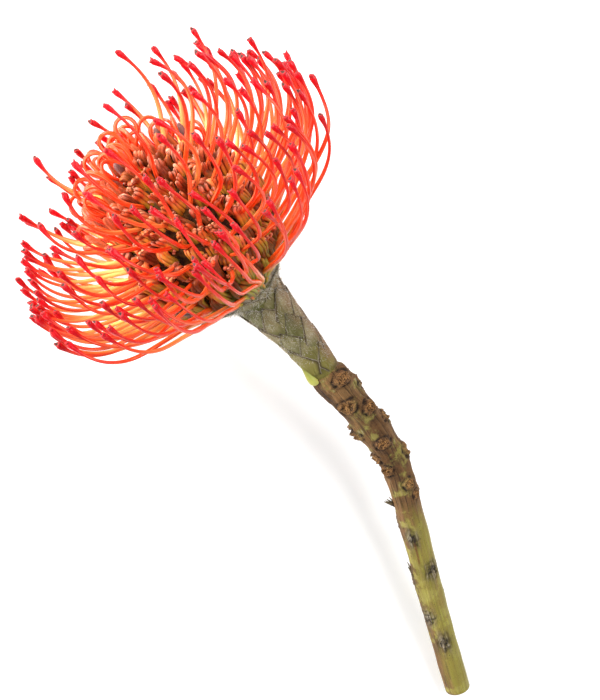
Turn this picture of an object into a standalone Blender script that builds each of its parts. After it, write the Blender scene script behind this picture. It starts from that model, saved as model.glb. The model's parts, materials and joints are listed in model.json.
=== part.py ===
"""A cut pincushion protea flower, lying on a surface.

Metres, +Z up. X runs along the stem towards the flower head, and the origin is on the
surface, under the middle of the flower. Three pieces: the woody stem with its leaf scars,
the neck clad in overlapping bracts, and the flower head with its florets and styles.
"""

import math
import random

import bmesh
import bpy
import numpy as np
from mathutils import Matrix, Vector

MM = 0.001

# Where the flower lies: the foot of the head and the way it points
HEAD_BASE = np.array([4.25, 1.25, 42.6]) * MM
HEAD_YAW = math.radians(16.45)
HEAD_TILT = math.radians(10.0)
SEAT_GAP = 0.3 * MM

# Middle line of neck and stem, from the head's foot back to the cut end
STEM_LINE = np.array([
    (4.25, 1.25, 42.6), (-17.3, -4.6, 38.4), (-31.4, -7.6, 34.5), (-42.9, -9.8, 32.0),
    (-60.7, -14.1, 28.3), (-78.4, -15.5, 24.7), (-91.4, -13.9, 22.1), (-108.1, -11.2, 18.6),
    (-130.4, -7.0, 14.1), (-153.4, -3.5, 9.2), (-175.6, 0.0, 4.5),
]) * MM

# Neck and stem
NECK_LENGTH = 39.5 * MM
NECK_TOP_RADIUS = 8.7 * MM
NECK_FOOT_RADIUS = 5.4 * MM
NECK_SIDES = 18
NECK_RINGS = 12
STEM_TOP_RADIUS = 5.3 * MM
STEM_FOOT_RADIUS = 5.0 * MM
STEM_SIDES = 20
STEM_RINGS = 54

# Leaf scars on the side that the photograph shows: millimetres down the stem from the
# head's foot, degrees round it. Those underneath follow the same spiral, thinned out
SEEN_SCARS = ((43.5, 66), (51.5, 3), (54, 117), (59.5, 57), (67.5, 15), (68, 180), (74, 99),
              (83, 9), (80.5, 174), (86, 141), (93.5, 75), (99, 54), (116, 120),
              (131, 66), (151, 144), (162.5, 102))
HIDDEN_SCARS = 13
LEAF_STUBS = ((102, 189, 3.6), (132.5, 189, 2.6))

# Bracts that clad the neck, tip towards the head, and the wider ones under the head
BRACTS = 38
BRACT_LENGTH = 12.5 * MM
BRACT_WIDTH = 8.6 * MM
BRACT_THICK = 0.8 * MM
COLLAR_BRACTS = 10
COLLAR_LENGTH = 15.0 * MM
COLLAR_WIDTH = 8.6 * MM
COLLAR_BEND = 1.4 * MM
COLLAR_CLEAR = 1.9 * MM

# Flower head: the dome that the floret tips make, and the receptacle that they stand on
FLORETS = 208
FLORET_STEP = 2
GOLDEN_ANGLE = math.radians(137.508)
DOME_RADIUS = 26.6 * MM
DOME_MIDDLE = 29.5 * MM
DOME_UP = 30.0 * MM
DOME_DOWN = 31.0 * MM
DOME_LOW_ANGLE = math.radians(118)
SEAT_TOP = 36.0 * MM
SEAT_DEPTH = 34.0 * MM
SEAT_RADIUS = 8.5 * MM
FLORET_BEND = math.radians(20)
FOOT_RADIUS = 7.9 * MM
SHOULDER = (16.5 * MM, 4.7 * MM)
CORE_SINK = 6.5 * MM
CORE_SIDES = 16

# One floret of the solid, larger than life, and one style at its true thickness
PERIANTH_WIDTH = 5.4 * MM
PERIANTH_DEPTH = 4.4 * MM
STYLE_LENGTH_LOW = 67.5 * MM
STYLE_LENGTH_TOP = 53.0 * MM
STYLE_LOPSIDED = 0.035
STYLE_LOW_LEAN = math.radians(12)
STYLE_RADIUS_ROOT = 1.0 * MM
STYLE_RADIUS_TIP = 0.72 * MM
CLUB_RADIUS = 1.35 * MM
CLUB_LENGTH = 5.2 * MM

# The surface that the lowest styles are pressed against
PRESS_HEIGHT = 0.35 * MM
PRESS_SOFTNESS = 1.3 * MM


def clear_scene():
    for item in list(bpy.data.objects):
        bpy.data.objects.remove(item, do_unlink=True)


def make_material(name, color, roughness):
    material = bpy.data.materials.new(name)
    material.use_nodes = True
    shader = material.node_tree.nodes["Principled BSDF"]
    shader.inputs["Base Color"].default_value = (*color, 1.0)
    shader.inputs["Roughness"].default_value = roughness
    shader.inputs["Metallic"].default_value = 0.0
    return material


def unit(vector):
    return vector / np.linalg.norm(vector)


def smooth_step(x):
    x = min(max(x, 0.0), 1.0)
    return x * x * (3 - 2 * x)


def add_object(name, points, faces, material, collection=None):
    mesh = bpy.data.meshes.new(name)
    mesh.from_pydata([tuple(p) for p in points], [], faces)
    mesh.materials.append(material)
    item = bpy.data.objects.new(name, mesh)
    (collection or bpy.context.scene.collection).objects.link(item)
    return item


# A tube: rings of corners round a line, with a flat cap at each end
def tube_shape(line, radii, sides, reference, flatness=1.0, turn=0.0):
    line = np.asarray(line)
    points, faces = [], []
    for k, centre in enumerate(line):
        along = unit(line[min(k + 1, len(line) - 1)] - line[max(k - 1, 0)])
        across = unit(reference - along * (reference @ along))
        upright = np.cross(along, across)
        for j in range(sides):
            angle = turn + 2 * math.pi * j / sides
            offset = across * math.cos(angle) + upright * math.sin(angle) * flatness
            points.append(centre + offset * radii[k])
    for k in range(len(line) - 1):
        for j in range(sides):
            a, b = k * sides + j, k * sides + (j + 1) % sides
            faces.append((a, b, b + sides, a + sides))
    faces.append(tuple(reversed(range(sides))))
    last = (len(line) - 1) * sides
    faces.append(tuple(range(last, last + sides)))
    return points, faces


# One smooth curve through the middle line's points, as distance, place and direction
class MiddleLine:
    def __init__(self, knots, steps=24):
        knots = np.vstack([2 * knots[0] - knots[1], knots, 2 * knots[-1] - knots[-2]])
        places = []
        for k in range(1, len(knots) - 2):
            a, b, c, d = knots[k - 1 : k + 3]
            for t in np.arange(steps) / steps:
                places.append(0.5 * (2 * b + (c - a) * t + (2 * a - 5 * b + 4 * c - d) * t**2
                                     + (3 * b - a - 3 * c + d) * t**3))
        places.append(knots[-2])
        self.places = np.array(places)
        gaps = np.linalg.norm(np.diff(self.places, axis=0), axis=1)
        self.distance = np.concatenate([[0.0], np.cumsum(gaps)])
        self.length = self.distance[-1]

    def at(self, distance):
        return np.array([np.interp(distance, self.distance, self.places[:, k]) for k in range(3)])

    def frame(self, distance):
        """Place, direction back down the stem, sideways and upwards, at this distance."""
        along = unit(self.at(distance + 1.5 * MM) - self.at(max(distance - 1.5 * MM, 0.0)))
        if distance + 1.5 * MM > self.length:
            along = unit(self.at(self.length) - self.at(self.length - 3 * MM))
        side = unit(np.cross(np.array([0.0, 0.0, 1.0]), along))
        return self.at(distance), along, side, np.cross(along, side)

    def on_skin(self, distance, angle, radius):
        place, _, side, upright = self.frame(distance)
        return place + (side * math.cos(angle) + upright * math.sin(angle)) * radius


def leaf_scars():
    draw = random.Random(7)
    places = list(SEEN_SCARS)
    for k in range(HIDDEN_SCARS):
        places.append((48 + 9.0 * k + draw.uniform(-2, 2), 270 + 65 * math.sin(2.4 * k)))
    scars = []
    for distance, degrees in places:
        crowded = distance < 95
        scars.append({
            "distance": distance * MM,
            "angle": math.radians(degrees),
            "radius": (2.9 if crowded else 2.3) * MM * draw.uniform(0.85, 1.1),
            "height": (1.1 if crowded else 0.7) * MM * draw.uniform(0.8, 1.15),
        })
    return scars


def stem_radius(distance, angle, line, scars):
    share = (distance - NECK_LENGTH) / (line.length - NECK_LENGTH)
    radius = STEM_TOP_RADIUS + (STEM_FOOT_RADIUS - STEM_TOP_RADIUS) * smooth_step(share * 1.6)
    for scar in scars:
        turn = (angle - scar["angle"] + math.pi) % (2 * math.pi) - math.pi
        away = math.hypot(distance - scar["distance"], turn * radius) / scar["radius"]
        if away < 2.2:
            rim = math.exp(-(((away - 0.55) / 0.42) ** 2))
            radius += scar["height"] * (0.7 * rim + 0.4 * math.exp(-((away / 1.3) ** 2)))
    return radius


def build_stem(line, material):
    scars = leaf_scars()
    start = NECK_LENGTH + SEAT_GAP
    points, faces = [], []
    for k in range(STEM_RINGS):
        distance = start + (line.length - start) * (k / (STEM_RINGS - 1)) ** 1.12
        for j in range(STEM_SIDES):
            angle = 2 * math.pi * j / STEM_SIDES
            radius = stem_radius(distance, angle, line, scars)
            points.append(line.on_skin(distance, angle, radius))
    for k in range(STEM_RINGS - 1):
        for j in range(STEM_SIDES):
            a, b = k * STEM_SIDES + j, k * STEM_SIDES + (j + 1) % STEM_SIDES
            faces.append((a, a + STEM_SIDES, b + STEM_SIDES, b))
    faces.append(tuple(range(STEM_SIDES)))
    last = (STEM_RINGS - 1) * STEM_SIDES
    faces.append(tuple(reversed(range(last, last + STEM_SIDES))))
    stem = add_object("woody_stem", points, faces, material)
    fix_normals(stem)
    stubs = bpy.data.collections.new("leaf_stubs")
    bpy.context.scene.collection.children.link(stubs)
    for distance, degrees, reach in LEAF_STUBS:
        distance, angle, reach = distance * MM, math.radians(degrees), reach * MM
        root = line.on_skin(distance, angle, 0.6 * STEM_FOOT_RADIUS)
        middle = line.on_skin(distance - 1.0 * MM, angle, STEM_FOOT_RADIUS + 0.5 * reach)
        tip = line.on_skin(distance - 2.6 * MM, angle, STEM_FOOT_RADIUS + reach)
        _, along, _, _ = line.frame(distance)
        shape = tube_shape([root, middle, tip], [1.2 * MM, 0.9 * MM, 0.35 * MM], 5, along)
        fix_normals(add_object("stub", *shape, material, stubs))
    union_with(stem, stubs)
    return stem


def neck_radius(distance):
    share = min(max(distance / NECK_LENGTH, 0.0), 1.0)
    return NECK_FOOT_RADIUS + (NECK_TOP_RADIUS - NECK_FOOT_RADIUS) * (1 - share) ** 2.2


def core_slope():
    """The way the underside of the head runs outwards: (radius, height), length one."""
    return unit(np.array([SHOULDER[0] - FOOT_RADIUS, SHOULDER[1]]))


def on_neck(line, head, distance, angle, proud):
    """A place above the neck's skin. Past COLLAR_BEND it runs out under the head instead."""
    if distance >= COLLAR_BEND:
        return line.on_skin(distance, angle, neck_radius(distance) + proud)
    slope = core_slope()
    below = np.array([slope[1], -slope[0]])
    spot = np.array([FOOT_RADIUS, 0.0]) + slope * (COLLAR_BEND - distance)
    spot = spot + below * (COLLAR_CLEAR - 0.35 * BRACT_THICK + proud)
    _, _, side, upright = line.frame(0.0)
    radial = side * math.cos(angle) + upright * math.sin(angle)
    return head.foot + head.axis * spot[1] + radial * spot[0]


def bract_shape(line, head, distance, angle, length, width, lift):
    """A pointed shield: its foot is sunk in the neck, its tip stands proud of it."""
    outline = [(0.0, 0.3), (0.3, 0.5), (0.66, 0.4), (0.88, 0.18), (1.0, 0.0)]
    outline += [(s, -w) for s, w in reversed(outline[:-1])]
    outer, inner = [], []
    for share, half in outline + [(0.5, 0.0)]:
        along = distance - share * length
        spread = neck_radius(along) + max(COLLAR_BEND - along, 0.0)
        proud = lift * smooth_step(share * 1.25) + (0.55 if half == 0.0 else 0.3) * BRACT_THICK
        sunk = BRACT_THICK * (1.0 if along < COLLAR_BEND else 1.7)
        turn = angle + half * width / spread
        outer.append(on_neck(line, head, along, turn, proud))
        inner.append(on_neck(line, head, along, turn, proud - sunk))
    count = len(outline)
    faces = []
    for k in range(count):
        after = (k + 1) % count
        faces.append((k, after, count))
        faces.append((after + count + 1, k + count + 1, 2 * count + 1))
        faces.append((after, k, k + count + 1, after + count + 1))
    return outer + inner, faces


def build_neck(line, head, material):
    rings, radii = [], []
    for k in range(NECK_RINGS + 1):
        distance = NECK_LENGTH * k / NECK_RINGS
        rings.append(line.at(distance))
        radii.append(neck_radius(distance))
    points, faces = tube_shape(rings, radii, NECK_SIDES, np.array([0.0, 1.0, 0.0]))
    neck = add_object("bract_neck", points, faces, material)
    fix_normals(neck)
    scales = bpy.data.collections.new("bracts")
    bpy.context.scene.collection.children.link(scales)
    for k in range(BRACTS):
        share = (k + 0.5) / BRACTS
        distance = 13.0 * MM + (NECK_LENGTH - 13.4 * MM) * share
        size = 0.86 + 0.24 * (1 - share)
        shape = bract_shape(line, head, distance, k * GOLDEN_ANGLE, BRACT_LENGTH * 0.9 * size,
                            BRACT_WIDTH * size, (0.3 + 0.3 * (1 - share)) * MM)
        fix_normals(add_object("bract", *shape, material, scales))
    for k in range(COLLAR_BRACTS):
        shape = bract_shape(line, head, (7.4 - 1.2 * (k % 2)) * MM,
                            (k + 0.5) * 2 * math.pi / COLLAR_BRACTS,
                            COLLAR_LENGTH - 0.9 * MM * (k % 3), COLLAR_WIDTH, 0.0)
        fix_normals(add_object("collar", *shape, material, scales))
    root = line.on_skin(NECK_LENGTH - 3.5 * MM, math.radians(150), 3.0 * MM)
    tip = line.on_skin(NECK_LENGTH - 1.3 * MM, math.radians(150), NECK_FOOT_RADIUS + 1.9 * MM)
    shape = tube_shape([root, tip], [2.2 * MM, 0.9 * MM], 6, np.array([1.0, 0.0, 0.0]))
    fix_normals(add_object("leaf_foot", *shape, material, scales))
    union_with(neck, scales)
    return neck


def fix_normals(item):
    shape = bmesh.new()
    shape.from_mesh(item.data)
    bmesh.ops.recalc_face_normals(shape, faces=shape.faces)
    shape.to_mesh(item.data)
    shape.free()


# Keeps the largest body: a union of many solids can leave crumbs beside it
def drop_scraps(item):
    shape = bmesh.new()
    shape.from_mesh(item.data)
    waiting, bodies = set(shape.verts), []
    while waiting:
        stack, body = [waiting.pop()], []
        while stack:
            corner = stack.pop()
            body.append(corner)
            around = {edge.other_vert(corner) for edge in corner.link_edges} & waiting
            waiting -= around
            stack.extend(around)
        bodies.append(body)
    bodies.sort(key=len)
    scraps = [corner for body in bodies[:-1] for corner in body]
    bmesh.ops.delete(shape, geom=scraps, context="VERTS")
    shape.to_mesh(item.data)
    shape.free()


# Joins the collection's solids to the item, then removes them
def union_with(item, collection):
    joint = item.modifiers.new("Union", "BOOLEAN")
    joint.operation = "UNION"
    joint.solver = "MANIFOLD"
    joint.operand_type = "COLLECTION"
    joint.collection = collection
    bpy.context.view_layer.update()
    graph = bpy.context.evaluated_depsgraph_get()
    joined = bpy.data.meshes.new_from_object(item.evaluated_get(graph))
    item.modifiers.remove(joint)
    item.data = joined
    drop_scraps(item)
    for part in list(collection.objects):
        bpy.data.objects.remove(part, do_unlink=True)
    bpy.data.collections.remove(collection)


# Where the florets stand: the dome's angle for each, so that all cover a like area
def dome_point(angle):
    reach = DOME_UP if angle < math.pi / 2 else DOME_DOWN
    return np.array([DOME_RADIUS * math.sin(angle), DOME_MIDDLE + reach * math.cos(angle)])


def seat_point(angle):
    share = angle / DOME_LOW_ANGLE
    radius = SEAT_RADIUS * math.sin(min(0.8 * angle, math.pi / 2))
    return np.array([radius, SEAT_TOP - SEAT_DEPTH * share**1.15])


def dome_angles(count):
    angles = np.linspace(DOME_LOW_ANGLE, 0.0, 400)
    profile = np.array([dome_point(a) for a in angles])
    steps = np.linalg.norm(np.diff(profile, axis=0), axis=1)
    bands = np.concatenate([[0.0], np.cumsum(steps * (profile[1:, 0] + profile[:-1, 0]))])
    shares = (np.arange(count) + 0.5) / count
    return np.interp(shares, bands / bands[-1], angles)


class Head:
    """Turns (radius, height, sideways) about the head's axis into places in space."""

    def __init__(self):
        self.axis = np.array([math.cos(HEAD_TILT) * math.cos(HEAD_YAW),
                              math.cos(HEAD_TILT) * math.sin(HEAD_YAW), math.sin(HEAD_TILT)])
        up = np.array([0.0, 0.0, 1.0])
        self.top = unit(up - self.axis * (up @ self.axis))
        self.side = np.cross(self.axis, self.top)
        self.foot = HEAD_BASE + self.axis * SEAT_GAP

    def radial(self, turn):
        return self.top * math.cos(turn) + self.side * math.sin(turn)

    def tangent(self, turn):
        return self.side * math.cos(turn) - self.top * math.sin(turn)

    def place(self, radius, height, sideways, turn):
        return (self.foot + self.axis * height + self.radial(turn) * radius
                + self.tangent(turn) * sideways)


def pressed(points, least=PRESS_HEIGHT):
    """Bends what would go through the surface along it."""
    points = np.array(points)
    depth = (points[:, 2] - least) / PRESS_SOFTNESS
    points[:, 2] = least + PRESS_SOFTNESS * np.logaddexp(0.0, depth)
    return points


def floret_facts(index, angle):
    """What one floret is like: all that varies comes from its own seeded draw."""
    draw = random.Random(1000 + index)
    share = angle / DOME_LOW_ANGLE
    seat = seat_point(angle)
    tip = seat + (dome_point(angle) - seat) * draw.uniform(0.96, 1.05)
    bend = FLORET_BEND * share**0.7
    lean = math.atan2(*(tip - seat)) + bend
    # the lowest styles rise more steeply than their florets lean
    lower = smooth_step((share - 0.6) / 0.4)
    turn = index * GOLDEN_ANGLE + draw.uniform(-0.05, 0.05)
    length = STYLE_LENGTH_TOP + (STYLE_LENGTH_LOW - STYLE_LENGTH_TOP) * share**0.6
    length *= 1 + STYLE_LOPSIDED * math.sin(turn)
    facts = {
        "turn": turn,
        "seat": seat,
        "tip": tip,
        "bend": bend,
        "lean": lean,
        "length": length * draw.uniform(0.93, 1.04),
        "open_lean": lean + math.radians(2 + 30 * (1 - share) + draw.uniform(-4, 4))
        - STYLE_LOW_LEAN * lower,
        "end_lean": math.radians(-20 + 45 * share - 30 * share**2 + draw.uniform(-12, 12)),
        "sway": draw.uniform(-0.16, 0.16),
        "bend_from": draw.uniform(0.44, 0.55),
        "bend_to": draw.uniform(0.98, 1.14) + 0.05 * lower,
        "loop": draw.uniform(0.8, 1.2),
    }
    away = -math.cos(turn - math.radians(25))
    facts["hooped"] = angle < math.radians(62) and away > 0.1 and draw.random() < 0.8
    facts["bow"] = draw.uniform(4.5, 9.0) * MM
    return facts


def floret_line(facts, shares):
    """The floret's own middle line as (radius, height): bent towards the head's axis."""
    seat, tip = facts["seat"], facts["tip"]
    chord = tip - seat
    outward = np.array([chord[1], -chord[0]])
    elbow = seat + 0.5 * chord + 0.5 * math.tan(facts["bend"]) * outward
    return [(1 - s) ** 2 * seat + 2 * s * (1 - s) * elbow + s * s * tip for s in shares]


def style_line(head, facts, shares):
    """An open style: out of its floret, leaning outwards, then round to the axis's direction."""
    steps = 160
    radius, height = facts["seat"]
    length = facts["length"]
    track = [(radius, height, 0.0)]
    for k in range(steps):
        s = (k + 0.5) / steps
        lean = facts["lean"] + (facts["open_lean"] - facts["lean"]) * smooth_step(s / 0.35)
        late = smooth_step((s - facts["bend_from"]) / (facts["bend_to"] - facts["bend_from"]))
        lean += (facts["end_lean"] - facts["open_lean"]) * late
        radius += math.sin(lean) * length / steps
        height += math.cos(lean) * length / steps
        sideways = facts["sway"] * length * max(0.0, s - 0.3) ** 1.6
        track.append((radius, height, sideways))
    track = np.array(track)
    at = np.linspace(0.0, 1.0, steps + 1)
    picked = [[np.interp(s, at, track[:, k]) for k in range(3)] for s in shares]
    return pressed([head.place(*p, facts["turn"]) for p in picked])


def hoop_line(head, facts, count):
    """A young style whose tip the floret still holds: a loop on the side away from the axis."""
    tip = facts["tip"]
    along = unit(tip - floret_line(facts, [0.8])[0])
    outward = np.array([along[1], -along[0]])
    track = []
    for k in range(count):
        s = k / (count - 1)
        bow = facts["bow"] * math.sin(math.pi * s**1.3) ** 0.9
        rise = 9.0 * MM * (s - 1) + 20.0 * MM * facts["loop"] * math.sin(math.pi * s * 0.97)
        place = tip + along * rise + outward * bow
        track.append((place[0], place[1], facts["sway"] * 45 * MM * math.sin(math.pi * s)))
    return pressed([head.place(*p, facts["turn"]) for p in track])


def club_radii(shares, length):
    radii = []
    for s in shares:
        from_tip = (1 - s) * length
        radius = STYLE_RADIUS_ROOT + (STYLE_RADIUS_TIP - STYLE_RADIUS_ROOT) * smooth_step(s * 1.1)
        if from_tip < CLUB_LENGTH * 1.4:
            swell = smooth_step((CLUB_LENGTH * 1.4 - from_tip) / (CLUB_LENGTH * 0.9))
            radius += (CLUB_RADIUS - STYLE_RADIUS_TIP) * swell
        radii.append(radius)
    radii[-1] = 0.75 * CLUB_RADIUS
    return radii


def style_shape(head, facts):
    if facts["hooped"]:
        count = 10
        line = hoop_line(head, facts, count)
        radii = [STYLE_RADIUS_ROOT] + [0.95 * STYLE_RADIUS_ROOT] * (count - 2) + [STYLE_RADIUS_TIP]
        return tube_shape(line, radii, 3, head.tangent(facts["turn"]), turn=math.pi / 2)
    start = 0.3 * np.linalg.norm(facts["tip"] - facts["seat"]) / facts["length"]
    club = CLUB_LENGTH / facts["length"]
    bends = np.linspace(start, 1 - 1.4 * club, 6)
    shares = [*bends, 1 - 0.6 * club, 1.0]
    line = style_line(head, facts, shares)
    radii = club_radii(shares, facts["length"])
    return tube_shape(line, radii, 3, head.tangent(facts["turn"]), turn=math.pi / 2)


def perianth_shape(head, facts):
    """The floret's sleeve, here one bar from the core to its tip, which rolls outwards."""
    track = floret_line(facts, (0.5, 0.78, 1.0))
    along = unit(track[2] - track[1])
    outward = np.array([along[1], -along[0]])
    track.append(facts["tip"] + along * 0.5 * MM + outward * 1.7 * MM)
    line = pressed([head.place(*p, 0.0, facts["turn"]) for p in track])
    radii = [math.sqrt(0.5) * PERIANTH_WIDTH * w for w in (0.85, 1.0, 0.92, 0.6)]
    return tube_shape(line, radii, 4, head.tangent(facts["turn"]),
                      PERIANTH_DEPTH / PERIANTH_WIDTH, math.pi / 4)


def core_shape(head):
    """The mass of floret feet, as one egg a little inside the dome."""
    rings = [(FOOT_RADIUS, 0.0), SHOULDER]
    for angle in np.linspace(DOME_LOW_ANGLE, 0.0, 9)[:-1]:
        tip = dome_point(angle)
        rings.append(tuple(tip - unit(tip - seat_point(angle)) * CORE_SINK))
    points, faces = [], []
    for radius, height in rings:
        for j in range(CORE_SIDES):
            points.append(head.place(radius, height, 0.0, 2 * math.pi * j / CORE_SIDES))
    for k in range(len(rings) - 1):
        for j in range(CORE_SIDES):
            a, b = k * CORE_SIDES + j, k * CORE_SIDES + (j + 1) % CORE_SIDES
            faces.append((a, b, b + CORE_SIDES, a + CORE_SIDES))
    faces.append(tuple(reversed(range(CORE_SIDES))))
    peak = len(points)
    points.append(head.place(0.0, dome_point(0.0)[1] - CORE_SINK, 0.0, 0.0))
    last = (len(rings) - 1) * CORE_SIDES
    for j in range(CORE_SIDES):
        faces.append((last + j, last + (j + 1) % CORE_SIDES, peak))
    return points, faces


def build_head(head, material):
    core = add_object("flower_head", *core_shape(head), material)
    fix_normals(core)
    repeats = bpy.data.collections.new("florets")
    bpy.context.scene.collection.children.link(repeats)
    angles = dome_angles(FLORETS)
    for index in range(0, FLORETS, FLORET_STEP):
        facts = floret_facts(index, angles[index])
        fix_normals(add_object("perianth", *perianth_shape(head, facts), material, repeats))
        fix_normals(add_object("style", *style_shape(head, facts), material, repeats))
    union_with(core, repeats)
    return core


# Shaves what is left under the surface, so that the flower rests on small flat spots
def rest_on_surface(item):
    shape = bmesh.new()
    shape.from_mesh(item.data)
    everything = shape.verts[:] + shape.edges[:] + shape.faces[:]
    bmesh.ops.bisect_plane(shape, geom=everything, dist=1e-7, plane_co=(0, 0, 0),
                           plane_no=(0, 0, 1), clear_inner=True)
    rims = [edge for edge in shape.edges if edge.is_boundary]
    bmesh.ops.holes_fill(shape, edges=rims)
    bmesh.ops.recalc_face_normals(shape, faces=shape.faces)
    shape.to_mesh(item.data)
    shape.free()


# Brings the middle of the flower's foot print over the origin
def centre_over_origin(items):
    corners = np.array([v.co for item in items for v in item.data.vertices])
    middle = (corners.min(axis=0) + corners.max(axis=0)) / 2
    shift = Matrix.Translation(Vector((-middle[0], -middle[1], 0.0)))
    for item in items:
        item.data.transform(shift)
        item.data.update()
    return middle


def main():
    clear_scene()
    line = MiddleLine(STEM_LINE)
    head = Head()
    wood = make_material("stem_wood", (0.33, 0.27, 0.12), 0.75)
    bract = make_material("bract_skin", (0.33, 0.34, 0.21), 0.8)
    petal = make_material("flower_coral", (0.88, 0.20, 0.08), 0.5)
    items = [build_stem(line, wood), build_neck(line, head, bract), build_head(head, petal)]
    for item in items:
        rest_on_surface(item)
    centre_over_origin(items)


main()
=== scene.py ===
import json
import math
import random

import bmesh
import bpy
import numpy as np
from mathutils import Matrix, Vector, noise

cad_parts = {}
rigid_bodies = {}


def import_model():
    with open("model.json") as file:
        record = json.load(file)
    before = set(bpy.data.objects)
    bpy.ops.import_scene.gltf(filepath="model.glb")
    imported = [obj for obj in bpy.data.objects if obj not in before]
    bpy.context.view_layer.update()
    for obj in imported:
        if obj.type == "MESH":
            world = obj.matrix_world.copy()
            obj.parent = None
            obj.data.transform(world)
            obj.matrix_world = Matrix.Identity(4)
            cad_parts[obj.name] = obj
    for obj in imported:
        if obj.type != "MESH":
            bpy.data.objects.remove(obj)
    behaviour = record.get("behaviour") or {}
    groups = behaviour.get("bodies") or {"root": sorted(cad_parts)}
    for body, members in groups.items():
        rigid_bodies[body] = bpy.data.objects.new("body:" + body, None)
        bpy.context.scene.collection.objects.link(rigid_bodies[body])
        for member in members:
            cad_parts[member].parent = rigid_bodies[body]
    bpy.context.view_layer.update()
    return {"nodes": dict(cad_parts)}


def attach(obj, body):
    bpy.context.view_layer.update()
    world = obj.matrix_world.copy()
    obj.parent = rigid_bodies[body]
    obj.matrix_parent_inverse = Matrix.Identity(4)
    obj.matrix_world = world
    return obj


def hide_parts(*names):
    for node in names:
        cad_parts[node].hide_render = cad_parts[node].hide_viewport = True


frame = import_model()
print("frame loaded, nodes:", sorted(frame["nodes"]))

mm = 0.001
goldenAngle = math.radians(137.508)

# Where the seeds of each kind of random draw start
seeds = {
    "scars": 7,
    "scarDetails": 8,
    "stigmas": 40,
    "stubs": 60,
    "hairShapes": 70,
    "neckBracts": 200,
    "neckBractPlaces": 260,
    "collarBracts": 300,
    "innerPlaces": 330,
    "innerBracts": 340,
    "clawShapes": 400,
    "budShapes": 480,
    "hooks": 600,
    "florets": 1000,
    "styles": 5000,
    "tips": 6000,
    "claws": 7000,
    "fillers": 8000,
    "elbows": 9000,
    "elbowSizes": 9500,
    "bows": 9600,
    "rolls": 9700,
    "hoops": 9800,
}

# How the flower lies, in millimetres: the foot of the head, the way it points, and the middle
# line of neck and stem, from the head's foot back to the cut end
lying = {
    "headFoot": (4.25, 1.25, 42.6),
    "headYaw": 16.45,
    "headTilt": 10.0,
    "headGap": 0.3,
    "middle": (-44.091, 12.443, 0.0),
    "stemLine": (
        (4.25, 1.25, 42.6), (-17.3, -4.6, 38.4), (-31.4, -7.6, 34.5), (-42.9, -9.8, 32.0),
        (-60.7, -14.1, 28.3), (-78.4, -15.5, 24.7), (-91.4, -13.9, 22.1), (-108.1, -11.2, 18.6),
        (-130.4, -7.0, 14.1), (-153.4, -3.5, 9.2), (-175.6, 0.0, 4.5)),
}


def seeded(kind, number=0):
    return random.Random(seeds[kind] + number)


def unit(vector):
    return vector / np.linalg.norm(vector)


def smoothStep(x):
    x = np.clip(x, 0.0, 1.0)
    return x * x * (3 - 2 * x)


def bell(x, width):
    return np.exp(-((x / width) ** 2))


def mixed(a, b, share):
    return a + (b - a) * share


# The line through neck and stem as one smooth curve
class StemPath:
    def __init__(self, knots, steps=24):
        knots = np.vstack([2 * knots[0] - knots[1], knots, 2 * knots[-1] - knots[-2]])
        places = []
        for k in range(1, len(knots) - 2):
            a, b, c, d = knots[k - 1:k + 3]
            for t in np.arange(steps) / steps:
                places.append(0.5 * (2 * b + (c - a) * t + (2 * a - 5 * b + 4 * c - d) * t**2
                                     + (3 * b - a - 3 * c + d) * t**3))
        places.append(knots[-2])
        self.places = np.array(places)
        gaps = np.linalg.norm(np.diff(self.places, axis=0), axis=1)
        self.distance = np.concatenate([[0.0], np.cumsum(gaps)])
        self.length = self.distance[-1]

    def at(self, distance):
        return np.array([np.interp(distance, self.distance, self.places[:, k]) for k in range(3)])

    def cross(self, distance):
        before, after = max(distance - 1.5 * mm, 0.0), distance + 1.5 * mm
        if after > self.length:
            before, after = self.length - 3 * mm, self.length
        along = unit(self.at(after) - self.at(before))
        side = unit(np.cross((0.0, 0.0, 1.0), along))
        return self.at(distance), along, side, np.cross(along, side)

    def onSkin(self, distance, angle, radius):
        place, _, side, upright = self.cross(distance)
        return place + (side * math.cos(angle) + upright * math.sin(angle)) * radius


# Turns (radius, height, sideways) about the head's axis into places in space
class HeadAxis:
    def __init__(self):
        yaw, tilt = math.radians(lying["headYaw"]), math.radians(lying["headTilt"])
        self.axis = np.array([math.cos(tilt) * math.cos(yaw), math.cos(tilt) * math.sin(yaw),
                              math.sin(tilt)])
        up = np.array([0.0, 0.0, 1.0])
        self.top = unit(up - self.axis * (up @ self.axis))
        self.side = np.cross(self.axis, self.top)
        foot = (np.array(lying["headFoot"]) - np.array(lying["middle"])) * mm
        self.foot = foot + self.axis * lying["headGap"] * mm

    def radial(self, turn):
        return self.top * math.cos(turn) + self.side * math.sin(turn)

    def tangent(self, turn):
        return self.side * math.cos(turn) - self.top * math.sin(turn)

    def place(self, radius, height, sideways, turn):
        return (self.foot + self.axis * height + self.radial(turn) * radius
                + self.tangent(turn) * sideways)

    def direction(self, radius, height, turn):
        return self.axis * height + self.radial(turn) * radius


stemPath = StemPath((np.array(lying["stemLine"]) - np.array(lying["middle"])) * mm)
head = HeadAxis()


# Meshes


def setLayer(mesh, name, numbers, kind="FLOAT", field="value"):
    layer = mesh.attributes.new(name, kind, "POINT")
    flat = np.asarray(numbers, np.int32 if kind == "INT" else np.float32).ravel()
    layer.data.foreach_set(field, flat)


def setValues(mesh, values):
    for name, numbers in values.items():
        setLayer(mesh, name, numbers)


def readLayers(mesh, names):
    found = []
    for name in names.split():
        found.append(np.zeros(len(mesh.vertices), np.float32))
        mesh.attributes[name].data.foreach_get("value", found[-1])
    return found


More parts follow.
